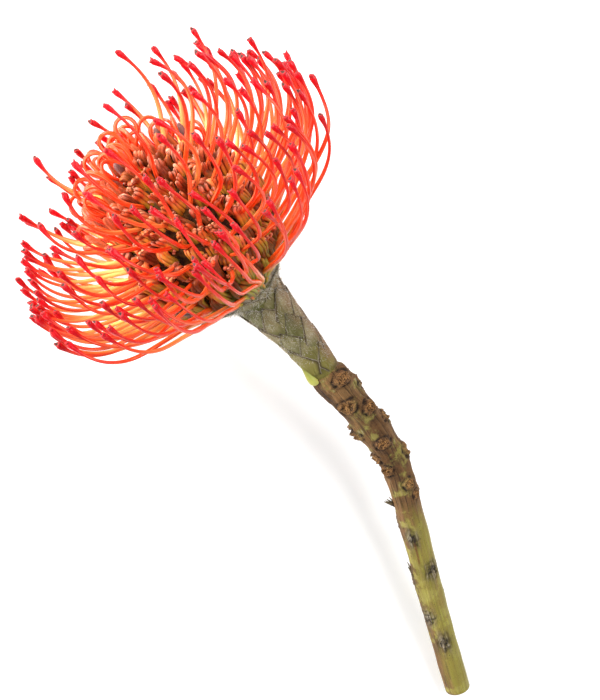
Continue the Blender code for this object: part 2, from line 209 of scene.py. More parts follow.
def makeMesh(name, points, faces, values=None, material=None, closed=True):
    mesh = bpy.data.meshes.new(name)
    mesh.from_pydata([tuple(p) for p in points], [], [tuple(f) for f in faces])
    setValues(mesh, values or {})
    if closed:
        shape = bmesh.new()
        shape.from_mesh(mesh)
        bmesh.ops.recalc_face_normals(shape, faces=shape.faces)
        shape.to_mesh(mesh)
        shape.free()
    if material:
        mesh.materials.append(material)
    mesh.shade_smooth()
    return mesh


def addPiece(mesh):
    piece = bpy.data.objects.new(mesh.name, mesh)
    bpy.context.scene.collection.objects.link(piece)
    return piece


# Ring after ring of corners, joined into a skin that is closed at both ends
def skinFaces(rings, sides):
    faces = []
    for k in range(rings - 1):
        for j in range(sides):
            a, b = k * sides + j, k * sides + (j + 1) % sides
            faces.append((a, b, b + sides, a + sides))
    faces.append(tuple(reversed(range(sides))))
    faces.append(tuple(range((rings - 1) * sides, rings * sides)))
    return faces


# A skin of rings, where corner(ring, number, turn) gives each corner and what it carries
def ringedMesh(name, rings, sides, corner, material=None, phase=0.0):
    points, values = [], {}
    for k in range(rings):
        for j in range(sides):
            spot, carried = corner(k, j, 2 * math.pi * (j + phase) / sides)
            points.append(spot)
            for key, number in carried.items():
                values.setdefault(key, []).append(number)
    return makeMesh(name, points, skinFaces(rings, sides), values, material)


# Two sheets of rows by columns, front and back, joined round their border
def shellFaces(rows, columns):
    faces, back = [], rows * columns
    for r in range(rows - 1):
        for c in range(columns - 1):
            a = r * columns + c
            quad = (a, a + 1, a + 1 + columns, a + columns)
            faces.append(quad)
            faces.append(tuple(back + q for q in reversed(quad)))
    border = [c for c in range(columns)]
    border += [r * columns + columns - 1 for r in range(1, rows)]
    border += [(rows - 1) * columns + c for c in range(columns - 2, -1, -1)]
    border += [r * columns for r in range(rows - 2, 0, -1)]
    for k, a in enumerate(border):
        b = border[(k + 1) % len(border)]
        faces.append((b, a, a + back, b + back))
    return faces


# Many small shells, or lines for the tubes, gathered into one mesh
class Gatherer:
    def __init__(self):
        self.points, self.cells, self.values = [], [], {}

    def add(self, points, cells, values):
        start = len(self.points)
        self.points.extend(points)
        self.cells.extend(tuple(start + i for i in cell) for cell in cells)
        for name, numbers in values.items():
            self.values.setdefault(name, []).extend(np.broadcast_to(numbers, len(points)))

    def addLine(self, points, values):
        self.add(points, [(k, k + 1) for k in range(len(points) - 1)], values)

    def piece(self, name, material):
        return addPiece(makeMesh(name, self.points, self.cells, self.values, material))

    def tubes(self, name, material, sides, flatness):
        mesh = bpy.data.meshes.new(name + "Lines")
        mesh.from_pydata([tuple(p) for p in self.points], self.cells, [])
        setValues(mesh, self.values)
        return growPiece(name, tubesAlongLines, addPiece(mesh), Sides=sides, Flatness=flatness,
                         Material=material)


# Node trees


# A node tree under construction, of a material, a shader group or Geometry Nodes
class Nodes:
    def __init__(self, tree):
        self.tree = tree

    def add(self, kind, inputs=None, **settings):
        node = self.tree.nodes.new(kind)
        for key, value in settings.items():
            setattr(node, key, value)
        for key, value in (inputs or {}).items():
            self.feed(node.inputs[key], value)
        return node

    def feed(self, socket, value):
        if isinstance(value, bpy.types.NodeSocket):
            self.tree.links.new(value, socket)
        else:
            socket.default_value = value

    def out(self, kind, inputs=None, **settings):
        return self.add(kind, inputs, **settings).outputs[0]

    def math(self, operation, a, b=0.0, c=0.0):
        return self.out("ShaderNodeMath", {0: a, 1: b, 2: c}, operation=operation)

    def times(self, a, b):
        return self.math("MULTIPLY", a, b)

    def plus(self, a, b):
        return self.math("ADD", a, b)

    def timesPlus(self, a, b, c):
        return self.math("MULTIPLY_ADD", a, b, c)

    def between(self, value, low, high, lowest=0.0, highest=1.0):
        return self.out("ShaderNodeMapRange", {"Value": value, "From Min": low, "From Max": high,
                                               "To Min": lowest, "To Max": highest},
                        interpolation_type="SMOOTHSTEP")

    def mix(self, share, a, b):
        return self.add("ShaderNodeMix", {0: share, 6: opaque(a), 7: opaque(b)},
                        data_type="RGBA").outputs[2]

    # A colour laid over another where a mask says, at most as strong as the amount
    def coat(self, under, mask, amount, color):
        return self.mix(self.times(mask, amount), under, color)

    def ramp(self, value, stops):
        node = self.add("ShaderNodeValToRGB", {"Fac": value})
        elements = node.color_ramp.elements
        while len(elements) < len(stops):
            elements.new(0.5)
        for element, (place, *color) in zip(elements, stops):
            element.position, element.color = place, opaque(tuple(color))
        return node.outputs["Color"]

    def noise(self, place, scale, detail, roughness=0.5):
        return self.out("ShaderNodeTexNoise", {"Vector": place, "Scale": scale, "Detail": detail,
                                               "Roughness": roughness})

    def objectPlace(self):
        return self.add("ShaderNodeTexCoord").outputs["Object"]

    def read(self, name):
        return self.add("ShaderNodeAttribute", attribute_name=name).outputs["Fac"]

    def readAll(self, names):
        return [self.read(name) for name in names.split()]

    def use(self, group, **inputs):
        return self.add("ShaderNodeGroup", inputs, node_tree=group).outputs

    def named(self, name, kind="FLOAT"):
        return self.add("GeometryNodeInputNamedAttribute", {"Name": name},
                        data_type=kind).outputs["Attribute"]

    def random(self, low, high, seed):
        return self.add("FunctionNodeRandomValue", {2: low, 3: high, "Seed": seed}).outputs[1]

    def turn(self, rotation, by):
        return self.out("FunctionNodeRotateRotation", {0: rotation, 1: by}, rotation_space="LOCAL")

    def aim(self, inputs, **settings):
        return self.out("FunctionNodeAlignRotationToVector", inputs, **settings)

    def collection(self, value):
        return self.out("GeometryNodeCollectionInfo", {"Collection": value, "Reset Children": True,
                                                       "Separate Children": True})

    # Realize Instances, then Set Material, at the end of each Geometry Nodes tree
    def end(self, geometry, given, result):
        smooth = self.out("GeometryNodeSetShadeSmooth", {0: geometry})
        real = self.out("GeometryNodeRealizeInstances", {0: smooth})
        self.feed(result["Geometry"],
                  self.out("GeometryNodeSetMaterial", {0: real, "Material": given["Material"]}))


def opaque(color):
    return (*color, 1.0) if isinstance(color, tuple) and len(color) == 3 else color


# Sockets by name, each with its default value, or the kind of socket where it has none
def newTree(kind, name, inputs, outputs):
    tree = bpy.data.node_groups.new(name, kind)
    for direction, sockets in (("INPUT", inputs), ("OUTPUT", outputs)):
        for label, value in sockets.items():
            plain = isinstance(value, str)
            family = value if plain else type(value).__name__.capitalize()
            socket = tree.interface.new_socket(name=label, in_out=direction,
                                               socket_type="NodeSocket" + family)
            if not plain:
                socket.default_value = value
    nodes = Nodes(tree)
    return nodes, nodes.add("NodeGroupInput").outputs, nodes.add("NodeGroupOutput").inputs


# Fibres that run along a piece: noise drawn out lengthwise, even across a tube's seam
def buildFibres():
    nodes, given, result = newTree(
        "ShaderNodeTree", "lengthwiseFibres",
        {"along": 0.0, "roundX": 0.0, "roundY": 0.0, "count": 2.0, "stretch": 3.0, "offset": 0.0},
        {"fibres": "Float"})
    x, y = (nodes.times(given[key], given["count"]) for key in ("roundX", "roundY"))
    z = nodes.timesPlus(given["along"], given["stretch"], given["offset"])
    spot = nodes.out("ShaderNodeCombineXYZ", {0: x, 1: y, 2: z})
    nodes.feed(result["fibres"], nodes.between(nodes.noise(spot, 1.0, 3.0, 0.6), 0.3, 0.7))
    return nodes.tree


# Blotches of two sizes, in Object coordinates
def buildMottle():
    nodes, given, result = newTree("ShaderNodeTree", "mottle",
                                   {"size": 300.0, "low": 0.4, "high": 0.65},
                                   {"blotches": "Float", "grain": "Float"})
    place = nodes.objectPlace()
    blotches = nodes.noise(place, given["size"], 4.0, 0.6)
    nodes.feed(result["blotches"], nodes.between(blotches, given["low"], given["high"]))
    nodes.feed(result["grain"], nodes.noise(place, nodes.times(given["size"], 9.0), 2.0))
    return nodes.tree


# The bloom of short pale hairs on young plant skin: a mask and a height for the bump
def buildDown():
    nodes, given, result = newTree("ShaderNodeTree", "downyBloom", {"size": 2500.0, "cover": 0.5},
                                   {"down": "Float", "height": "Float"})
    place = nodes.objectPlace()
    hairs, patches = nodes.noise(place, given["size"], 3.0, 0.7), nodes.noise(place, 260.0, 2.0)
    least = nodes.timesPlus(given["cover"], -0.4, 0.78)
    both = nodes.plus(nodes.times(hairs, 0.6), nodes.times(patches, 0.4))
    nodes.feed(result["down"], nodes.between(both, least, nodes.plus(least, 0.12)))
    nodes.feed(result["height"], hairs)
    return nodes.tree


fibres, mottle, downyBloom = buildFibres(), buildMottle(), buildDown()


# A material's node tree, with its shader
class Skin(Nodes):
    def __init__(self, name, specular, **subsurface):
        self.material = bpy.data.materials.new(name)
        self.material.use_nodes = True
        super().__init__(self.material.node_tree)
        self.shader = self.tree.nodes["Principled BSDF"]
        self.feed(self.shader.inputs["Specular IOR Level"], specular)
        for key, value in subsurface.items():
            self.feed(self.shader.inputs["Subsurface " + key], value)

    def finish(self, color, roughness, height, strength, distance):
        bump = self.out("ShaderNodeBump", {"Height": height, "Strength": strength,
                                           "Distance": distance})
        for name, socket in (("Base Color", color), ("Roughness", roughness), ("Normal", bump)):
            self.feed(self.shader.inputs[name], socket)
        return self.material


# Geometry Nodes


# Runs a tree on a source object, with its small shapes, and keeps the result as a plain mesh
def growPiece(name, tree, source, shapes=(), **values):
    group = bpy.data.collections.new(name)
    bpy.context.scene.collection.children.link(group)
    for k, mesh in enumerate(shapes):
        group.objects.link(bpy.data.objects.new(f"{name}{k:02d}", mesh))
    values["Shapes"] = group
    change = source.modifiers.new(tree.name, "NODES")
    change.node_group = tree
    for item in tree.interface.items_tree:
        if item.item_type == "SOCKET" and item.in_out == "INPUT" and item.name in values:
            change[item.identifier] = values[item.name]
    bpy.context.view_layer.update()
    graph = bpy.context.evaluated_depsgraph_get()
    mesh = bpy.data.meshes.new_from_object(source.evaluated_get(graph))
    source.modifiers.remove(change)
    for item in (source, *group.objects):
        bpy.data.objects.remove(item)
    bpy.data.collections.remove(group)
    mesh.name = name
    return addPiece(mesh)


def newGrower(name, inputs):
    return newTree("GeometryNodeTree", name,
                   {"Geometry": "Geometry", **inputs, "Material": "Material"},
                   {"Geometry": "Geometry"})


# Tubes along lines of corners, as wide as the corners say
def buildTubes():
    nodes, given, result = newGrower("tubesAlongLines", {"Sides": 6, "Flatness": 0.85})
    lines = nodes.out("GeometryNodeMeshToCurve", {0: given["Geometry"]})
    ring = nodes.out("GeometryNodeCurvePrimitiveCircle",
                     {"Resolution": given["Sides"], "Radius": 1.0})
    spot = nodes.out("GeometryNodeInputPosition")
    parts = nodes.add("ShaderNodeSeparateXYZ", {0: spot}).outputs
    for name, part in (("roundX", parts[0]), ("roundY", parts[1])):
        ring = nodes.out("GeometryNodeStoreNamedAttribute",
                         {"Geometry": ring, "Value": part, "Name": name},
                         data_type="FLOAT", domain="POINT")
    oval = nodes.out("ShaderNodeCombineXYZ", {0: 1.0, 1: given["Flatness"], 2: 1.0})
    ring = nodes.out("GeometryNodeTransform", {"Geometry": ring, "Scale": oval})
    tubes = nodes.out("GeometryNodeCurveToMesh",
                      {"Curve": lines, "Profile Curve": ring, "Fill Caps": True,
                       "Scale": nodes.named("halfWidth")})
    nodes.end(tubes, given, result)
    return nodes.tree


# Small shapes set on corners, each aimed and turned as its corner says
def buildSetting():
    nodes, given, result = newGrower("shapesOnCorners", {
        "Shapes": "Collection", "Twist": 0.3, "Size Spread": 0.08, "Seed": 1})
    aimed = nodes.aim({"Vector": nodes.named("aim", "FLOAT_VECTOR")}, axis="Z")
    faced = nodes.aim({"Rotation": aimed, "Vector": nodes.named("outward", "FLOAT_VECTOR")},
                      axis="X", pivot_axis="Z")
    twist = nodes.random(nodes.times(given["Twist"], -1.0), given["Twist"], given["Seed"])
    spin = nodes.out("FunctionNodeAxisAngleToRotation", {"Axis": (0.0, 0.0, 1.0), "Angle": twist})
    spread = nodes.random(nodes.math("SUBTRACT", 1.0, given["Size Spread"]),
                          nodes.plus(1.0, given["Size Spread"]), nodes.plus(given["Seed"], 7.0))
    size = nodes.out("ShaderNodeVectorMath", {0: nodes.named("size", "FLOAT_VECTOR"), 3: spread},
                     operation="SCALE")
    placed = nodes.out("GeometryNodeInstanceOnPoints",
                       {"Points": given["Geometry"], "Instance": nodes.collection(given["Shapes"]),
                        "Pick Instance": True, "Instance Index": nodes.named("kind", "INT"),
                        "Rotation": nodes.turn(faced, spin), "Scale": size})
    nodes.end(placed, given, result)
    return nodes.tree


# Hairs scattered over a skin, leaning away from it at random
def buildHairs():
    nodes, given, result = newGrower("hairsOnSkin", {
        "Density": 1e6, "Shapes": "Collection", "Lean": 0.6, "Shortest": 0.6, "Longest": 1.3,
        "Seed": 3})
    scattered = nodes.add("GeometryNodeDistributePointsOnFaces",
                          {"Mesh": given["Geometry"], "Density": given["Density"],
                           "Selection": nodes.named("hairy", "BOOLEAN"), "Seed": given["Seed"]})
    less = nodes.times(given["Lean"], -1.0)
    ranges = ((less, given["Lean"]), (less, given["Lean"]), (0.0, 6.28))
    tilts = {k: nodes.random(low, high, nodes.plus(given["Seed"], 11.0 + k))
             for k, (low, high) in enumerate(ranges)}
    tilt = nodes.out("FunctionNodeEulerToRotation", {0: nodes.out("ShaderNodeCombineXYZ", tilts)})
    placed = nodes.out("GeometryNodeInstanceOnPoints",
                       {"Points": scattered.outputs["Points"], "Pick Instance": True,
                        "Instance": nodes.collection(given["Shapes"]),
                        "Rotation": nodes.turn(scattered.outputs["Rotation"], tilt),
                        "Scale": nodes.random(given["Shortest"], given["Longest"], given["Seed"])})
    nodes.end(placed, given, result)
    return nodes.tree


tubesAlongLines, shapesOnCorners, hairsOnSkin = buildTubes(), buildSetting(), buildHairs()


# Sets the meshes on corners that carry their own aim, outward side, size and kind
def setShapes(name, corners, meshes, twist, spread, seed, material):
    source = bpy.data.meshes.new(name + "Corners")
    source.from_pydata([tuple(c["place"]) for c in corners], [], [])
    for key in ("aim", "outward", "size"):
        setLayer(source, key, [c[key] for c in corners], "FLOAT_VECTOR", "vector")
    setLayer(source, "kind", [c["kind"] for c in corners], "INT")
    for key in corners[0].get("values", {}):
        setLayer(source, key, [c["values"][key] for c in corners])
    return growPiece(name, shapesOnCorners, addPiece(source), meshes, Twist=twist,
                     **{"Size Spread": spread}, Seed=seed, Material=material)


# Stem

stem = {
    "start": 39.8,
    "topRadius": 5.2,
    "footRadius": 4.6,
    "sinkAtFoot": 0.4,
    "rings": 430,
    "sides": 100,
    "barkDepth": 0.15,
    "capRings": 14,
    "brownUntil": 87.0,
    "brownFade": 34.0,
    "knuckle": (40.5, 54.0),
    "crackAngle": 116,
    "crack": (117.0, 126.0),
}
# Scars on the side that shows: millimetres down the stem and degrees round it
seenScars = ((43.5, 66), (51.5, 3), (54, 117), (59.5, 57), (67.5, 15), (68, 180), (74, 99), (83, 9),
             (80.5, 174), (86, 141), (93.5, 75), (99, 54), (116, 120), (131, 66), (151, 144),
             (162.5, 102))
# Leaf stubs: millimetres down the stem, degrees round it, how far they stand out and lean back
leafStubs = ((103.5, 189, 3.0, 3.6), (134.5, 189, 0.7, 4.6))


def leafScars():
    draw = seeded("scars")
    places = list(seenScars)
    for k in range(13):
        places.append((48 + 9.0 * k + draw.uniform(-2, 2), 270 + 65 * math.sin(2.4 * k)))
    scars = []
    for distance, degrees in places:
        crowded = distance < 95
        scars.append({
            "distance": distance * mm,
            "angle": math.radians(degrees),
            "radius": (2.9 if crowded else 2.3) * mm * draw.uniform(0.85, 1.1),
            "height": (1.1 if crowded else 0.7) * mm * draw.uniform(0.8, 1.15),
        })
    more = seeded("scarDetails")
    for scar in scars:
        scar["pits"] = [(more.uniform(0.12, 0.5), more.uniform(0, 2 * math.pi)) for _ in range(5)]
        scar["squash"] = more.uniform(0.8, 1.15)
        scar["torn"] = scar["distance"] > 105 * mm
        scar["waves"] = [(k, more.uniform(0.2, 0.7), more.uniform(0, 2 * math.pi))
                         for k in (2, 3, 5, 7)]
    return scars


# Angles measured from another one, between minus and plus half a turn
def turnsFrom(angles, middle):
    return (angles - middle + math.pi) % (2 * math.pi) - math.pi


# Radius round one ring of the stem, with what each corner is: scar ring, scar middle, pit, patch
def stemRing(distance, angles, scars):
    share = (distance - stem["start"] * mm) / (stemPath.length - stem["start"] * mm)
    radius = mixed(stem["topRadius"], stem["footRadius"], smoothStep(share * 1.6)) * mm
    radii = np.full(len(angles), float(radius))
    marks = ("scarRing", "scarWood", "scarPit", "scarNear", "torn")
    values = {key: np.zeros(len(angles)) for key in marks}

    def mark(name, amount):
        values[name] = np.maximum(values[name], np.clip(amount, 0, 1))

    for scar in scars:
        down = distance - scar["distance"]
        if abs(down) > 3.4 * scar["radius"]:
            continue
        turn = turnsFrom(angles, scar["angle"])
        x, y = down / scar["radius"], turn * radius / scar["radius"] * scar["squash"]
        if scar["torn"]:
            x = x / 1.6
        way = np.arctan2(y, x)
        ragged = sum(a * np.sin(k * way + p) for k, a, p in scar["waves"])
        wavy = np.array([noise.noise(Vector((a * 2.1, b * 2.1, scar["radius"] * 9000)))
                         for a, b in zip(np.broadcast_to(x, y.shape), y)])
        loose = 1.0 if scar["torn"] else 0.5
        away = np.hypot(x, y) * (1 + 0.09 * loose * ragged) + 0.35 * loose * wavy
        uneven = np.clip(0.75 + 0.5 * sum(a * np.sin((k + 1) * way + 2 * p)
                                          for k, a, p in scar["waves"]) + wavy, 0.4, 1.4)
        cushion = 0.8 * bell(away, 1.2) + 0.2 * bell(np.hypot(x - 1.1, 1.4 * y), 1.0)
        relief = 0.6 * uneven * bell(away - 0.62, 0.17) + cushion - 0.45 * bell(away - 0.2, 0.3)
        relief = relief - 0.5 * bell(away - 0.98, 0.1) * uneven - 0.3 * bell(away - 0.45, 0.09)
        for reach, way0 in scar["pits"]:
            pit = bell(np.hypot(x - reach * math.cos(way0), y - reach * math.sin(way0)), 0.11)
            relief = relief - 0.5 * pit
            mark("scarPit", pit)
        if scar["torn"]:
            shreds = np.sin(y * 17 + 3 * ragged) * bell(away, 0.8)
            relief = 0.7 * relief + 0.35 * shreds
            mark("torn", bell(away, 0.95) * (0.9 + 0.5 * shreds))
            mark("scarPit", 0.9 * bell(away - 0.55, 0.2) * (uneven > 0.9))
        relief = relief + 0.07 * np.cos(away * 15.0) * bell(away - 1.15, 0.4)
        radii = radii + scar["height"] * relief
        ring = 0.45 if scar["torn"] else 1.2
        mark("scarRing", ring * bell(away - 0.98, 0.18) * uneven)
        mark("scarRing", 0.8 * bell(away - 0.5, 0.08) * uneven * (not scar["torn"]))
        mark("scarWood", bell(away, 0.78) * (not scar["torn"]))
        mark("scarNear", bell(away, 1.5))
    return radii, values


def buildStem(bark, wood):
    scars = leafScars()
    sides, rings = stem["sides"], stem["rings"]
    angles = 2 * math.pi * np.arange(sides) / sides
    start = stem["start"] * mm - 0.6 * mm
    points, values = [], {}
    for k in range(rings):
        distance = start + (stemPath.length - start) * k / (rings - 1)
        place, _, side, upright = stemPath.cross(distance)
        radii, marks = stemRing(distance, angles, scars)
        brown = 1 - smoothStep((distance / mm - stem["brownUntil"]) / stem["brownFade"])
        knuckle = smoothStep((distance / mm - stem["knuckle"][0]) / 2)
        knuckle *= smoothStep((stem["knuckle"][1] - distance / mm) / 7)
        leftSide = 0.75 * bell(np.sin((angles - math.radians(182)) / 2), 0.5)
        sink = stem["sinkAtFoot"] * mm * smoothStep(distance / stemPath.length * 1.6 - 0.6)
        for j, angle in enumerate(angles):
            spot = place + (side * math.cos(angle) + upright * math.sin(angle)) * radii[j]
            coarse = noise.noise(Vector(spot) * 260)
            lengthwise = noise.noise(Vector((distance * 90, 5.5 * math.cos(angle),
                                             5.5 * math.sin(angle))))
            wrinkled = 1 - 2.2 * abs(noise.noise(Vector(spot) * 430 + Vector((5, 0, 0))))
            lumps = noise.noise(Vector(spot) * 95)
            rough = 0.7 * coarse + 1.1 * lengthwise + 1.6 * wrinkled * marks["scarNear"][j] * brown
            rough *= 0.5 + 0.7 * brown + 0.8 * marks["scarNear"][j]
            rough = stem["barkDepth"] * mm * (rough + 2.4 * knuckle * wrinkled)
            rough += (0.25 + 0.55 * brown) * mm * lumps
            rough += (0.4 + 0.9 * bell(math.sin((angle - 0.5) / 2), 0.5)) * mm * knuckle
            spot = spot + (side * math.cos(angle) + upright * math.sin(angle)) * rough
            points.append((spot[0], spot[1], max(spot[2] - sink, 0.02 * mm)))
        marks["brown"] = np.clip(brown + leftSide * (1 - brown), 0, 1)
        marks["along"] = np.full(sides, distance / stemPath.length)
        marks["roundX"], marks["roundY"] = np.cos(angles), np.sin(angles)
        below, above = (smoothStep((distance / mm - end) / 2) for end in stem["crack"])
        crack = bell(turnsFrom(angles, math.radians(stem["crackAngle"])), 0.07)
        marks["crack"] = crack * (below * (1 - above))
        for key, numbers in marks.items():
            values.setdefault(key, []).extend(numbers)
    # The cut end: rings that step inwards, with a slightly sunken pith
    place, along, side, upright = stemPath.cross(stemPath.length)
    rim = (rings - 1) * sides
    for k in range(1, stem["capRings"] + 1):
        share = 1 - k / (stem["capRings"] + 1)
        for j, angle in enumerate(angles):
            edge = np.array(points[rim + j])
            spot = place + (edge - place) * share
            sink = 0.35 * mm * bell(share, 0.24) - 0.12 * mm * noise.noise(Vector(spot) * 900)
            sink -= 0.25 * mm * smoothStep((1 - share) * 8)
            points.append(tuple(spot - along * sink))
            for key in values:
                values[key].append({"along": share, "roundX": math.cos(angle),
                                    "roundY": math.sin(angle)}.get(key, 0.0))
    mesh = makeMesh("stemBark", points, skinFaces(rings + stem["capRings"], sides), values, bark)
    mesh.materials.append(wood)
    for face in mesh.polygons:
        if min(face.vertices) >= rim and max(face.vertices) >= rim + sides:
            face.material_index = 1
    return addPiece(mesh)


# Torn, spiky ends of two old leaf feet: the spikes' sizes, and what they vary by
stub = {
    "spikes": (1.0, 0.62, 0.4, 0.75, 0.9, 0.5),
    "lean": 3.6,
    "spread": 0.3,
    "rings": 7,
    "sides": 6,
    "halfWidth": (1.3, 0.16),
}


def buildStubs(material):
    gathered, rings, sides = Gatherer(), stub["rings"], stub["sides"]
    for number, (distance, degrees, reach, fall) in enumerate(leafStubs):
        draw = seeded("stubs", number)
        distance, angle, reach = distance * mm, math.radians(degrees), reach * mm
        for spike, size in enumerate(stub["spikes"]):
            lean, spread = (draw.uniform(-stub[key], stub[key]) for key in ("lean", "spread"))
            path = []
            for s in np.linspace(0, 1, rings):
                out = stem["footRadius"] * mm * 0.78 + (reach * size + 1.1 * mm) * s
                back = (fall * size * s ** 1.2 + 0.7 * lean * s) * mm
                path.append(stemPath.onSkin(distance - back, angle + spread * (0.6 + s), out))
            width = mixed(*stub["halfWidth"], np.linspace(0, 1, rings) ** 0.8) * mm
            width = width * (0.5 + 0.4 * size)
            _, along, _, _ = stemPath.cross(distance)
            points = []
            for k, centre in enumerate(path):
                forward = unit(path[min(k + 1, rings - 1)] - path[max(k - 1, 0)])
                across = unit(along - forward * (along @ forward))
                upright = np.cross(forward, across)
                for j in range(sides):
                    turn = 2 * math.pi * j / sides + spike
                    points.append(centre + (across * math.cos(turn)
                                            + upright * math.sin(turn) * 0.6) * width[k])
            share = np.repeat(np.linspace(0, 1, rings), sides)
            gathered.add(points, skinFaces(rings, sides), {"along": share, "tint": draw.random()})
    return gathered.piece("leafStubs", material)


# Neck and its bracts

neck = {
    "length": 39.5,
    "topRadius": 8.7,
    "footRadius": 5.4,
    "bracts": 25,
    "bractLength": 15.5,
    "bractWidth": 11.2,
    "bractThick": 0.8,
    "rows": 15,
    "columns": 13,
    "collarBracts": 11,
    "collarLength": 17.5,
    "collarWidth": 10.4,
    "innerBracts": 26,
    "longBract": 5,
    "longBractMore": 3.6,
    "longBractCurl": 5.0,
    "collarReach": 20.0,
    "flareFrom": 3.0,
    "flareBend": 6.0,
    "flareSlope": math.radians(47),
}


def neckRadius(distance):
    share = min(max(distance / (neck["length"] * mm), 0.0), 1.0)
    return mixed(neck["footRadius"], neck["topRadius"], (1 - share) ** 2.2) * mm


# Under the head the skin flares out: way along it, radius, height and slope, in millimetres
def flareLine():
    steps, reach = 200, 26.0
    radius, height = neckRadius(neck["flareFrom"] * mm) / mm, -neck["flareFrom"]
    line = [(0.0, radius, height, math.radians(8))]
    for k in range(steps):
        way = (k + 0.5) / steps * reach
        slope = mixed(math.radians(8), neck["flareSlope"], smoothStep(way / neck["flareBend"]))
        slope += math.radians(14) * smoothStep((way - 10) / 5)
        radius += math.sin(slope) * reach / steps
        height += math.cos(slope) * reach / steps
        line.append(((k + 1) / steps * reach, radius, height, slope))
    return np.array(line)


flare = flareLine()


def skinRadius(distance):
    way = neck["flareFrom"] - distance / mm
    return float(np.interp(way, flare[:, 0], flare[:, 1])) * mm if way > 0 else neckRadius(distance)


# A place above the neck's skin, on round the flare where the distance is below 0
def onNeck(distance, angle, proud):
    way = neck["flareFrom"] - distance / mm
    if way <= 0:
        return stemPath.onSkin(distance, angle, neckRadius(distance) + proud)
    radius, height, slope = (np.interp(way, flare[:, 0], flare[:, k]) for k in (1, 2, 3))
    radius = radius * mm + proud * math.cos(slope)
    height = height * mm - proud * math.sin(slope)
    centre, _, side, upright = stemPath.cross(max(-height, 0.0))
    radial = side * math.cos(angle) + upright * math.sin(angle)
    return centre + head.axis * max(height, 0.0) + radial * radius


def bractHalfWidth(share, point):
    if share < 0.35:
        return 0.34 + 0.16 * smoothStep(share / 0.35)
    return 0.5 * max(1 - ((share - 0.35) / 0.65) ** point, 0.0) + 0.012


# A pointed shield, thin at its edges, its foot sunk in the neck and its tip standing proud
def addBract(gathered, seed, distance, angle, length, width, lift, curl=0.0, downy=0.3,
             point=1.35):
    draw = random.Random(seed)
    rows, columns, thick = neck["rows"], neck["columns"], neck["bractThick"] * mm
    lean, bulge = draw.uniform(-0.06, 0.06), draw.uniform(0.7, 1.15)
    front, back, along, edge, across, right = [], [], [], [], [], []
    for r in range(rows):
        share = (r / (rows - 1)) ** 0.92
        for c in range(columns):
            w = 2 * c / (columns - 1) - 1
            half = bractHalfWidth(share, point) * w
            down = distance - share * length * (1 - 0.05 * w * w)
            spread = skinRadius(down)
            ragged = 0.25 * mm * noise.noise(Vector((seed * 3.7, share * 7, w * 2))) * abs(w) ** 3
            crown = (0.22 * (1 - abs(w) ** 2.4) * smoothStep(share * 3) * bulge
                     + 0.12 * bell(w, 0.13) * (1 - share)
                     + 0.14 * bell(abs(w) - 0.88, 0.1) * smoothStep(share * 2)) * thick
            dents = 0.22 * mm * noise.noise(Vector((seed * 1.3, share * 3.1, w * 1.4)))
            proud = lift * share + crown + dents * share + 0.25 * thick + curl * share ** 3
            sunk = thick * mixed(1.5, 0.4, smoothStep(share * 1.6)) * mixed(1, 0.45, abs(w) ** 3)
            turn = angle + (half * width + ragged) / spread + lean * share
            front.append(onNeck(down, turn, proud))
            back.append(onNeck(down, turn, proud - sunk))
            along.append(share)
            edge.append(max(abs(w) ** 3, smoothStep((share - 0.86) / 0.14)))
            across.append(w)
            right.append(0.5 + 0.5 * math.cos(turn))
    values = {"along": along * 2, "edge": edge * 2, "across": across * 2, "right": right * 2,
              "tint": draw.random(), "downy": downy, "low": smoothStep((distance / mm - 29) / 10)}
    gathered.add(front + back, shellFaces(rows, columns), values)


def buildNeckBracts(material):
    gathered, length = Gatherer(), neck["length"] * mm
    for k in range(neck["bracts"]):
        share = (k + 0.5) / neck["bracts"]
        size = 0.86 + 0.24 * (1 - share)
        draw = seeded("neckBractPlaces", k)
        size *= draw.uniform(0.88, 1.14)
        addBract(gathered, seeds["neckBracts"] + k,
                 13.0 * mm + (length - 13.4 * mm) * share + draw.uniform(-0.9, 0.6) * mm,
                 k * goldenAngle + draw.uniform(-0.11, 0.11),
                 neck["bractLength"] * size * mm, neck["bractWidth"] * size * mm,
                 (0.35 + 0.4 * (1 - share)) * mm * draw.uniform(0.6, 1.4), downy=0.3,
                 point=draw.uniform(1.05, 1.5))
    return gathered.piece("neckBracts", material)


def buildCollar(material):
    gathered = Gatherer()
    for k in range(neck["collarBracts"]):
        draw, isLong = seeded("collarBracts", k), k == neck["longBract"]
        addBract(gathered, seeds["collarBracts"] + k,
                 (8.6 - 2.4 * (k % 2) + draw.uniform(-0.8, 0.8)) * mm,
                 (k + draw.uniform(0.35, 0.65)) * 2 * math.pi / neck["collarBracts"],
                 (neck["collarLength"] - draw.uniform(0.0, 2.2)
                  + neck["longBractMore"] * isLong) * mm,
                 neck["collarWidth"] * draw.uniform(0.9, 1.1) * mm, draw.uniform(0.0, 0.3) * mm,
                 curl=(draw.uniform(-0.3, 0.5) + neck["longBractCurl"] * isLong) * mm,
                 downy=0.45 + 0.3 * isLong, point=draw.uniform(1.3, 2.0))
    draw = seeded("innerPlaces")
    for k in range(neck["innerBracts"]):
        addBract(gathered, seeds["innerBracts"] + k, draw.uniform(-1.0, 1.5) * mm,
                 (k + draw.uniform(0.3, 0.7)) * 2 * math.pi / neck["innerBracts"],
                 draw.uniform(9.5, 13.0) * mm, draw.uniform(4.4, 6.4) * mm,
                 draw.uniform(-1.5, -0.3) * mm, curl=draw.uniform(-0.9, 0.3) * mm, downy=1.0,
                 point=1.5)
    return gathered.piece("collarBracts", material)


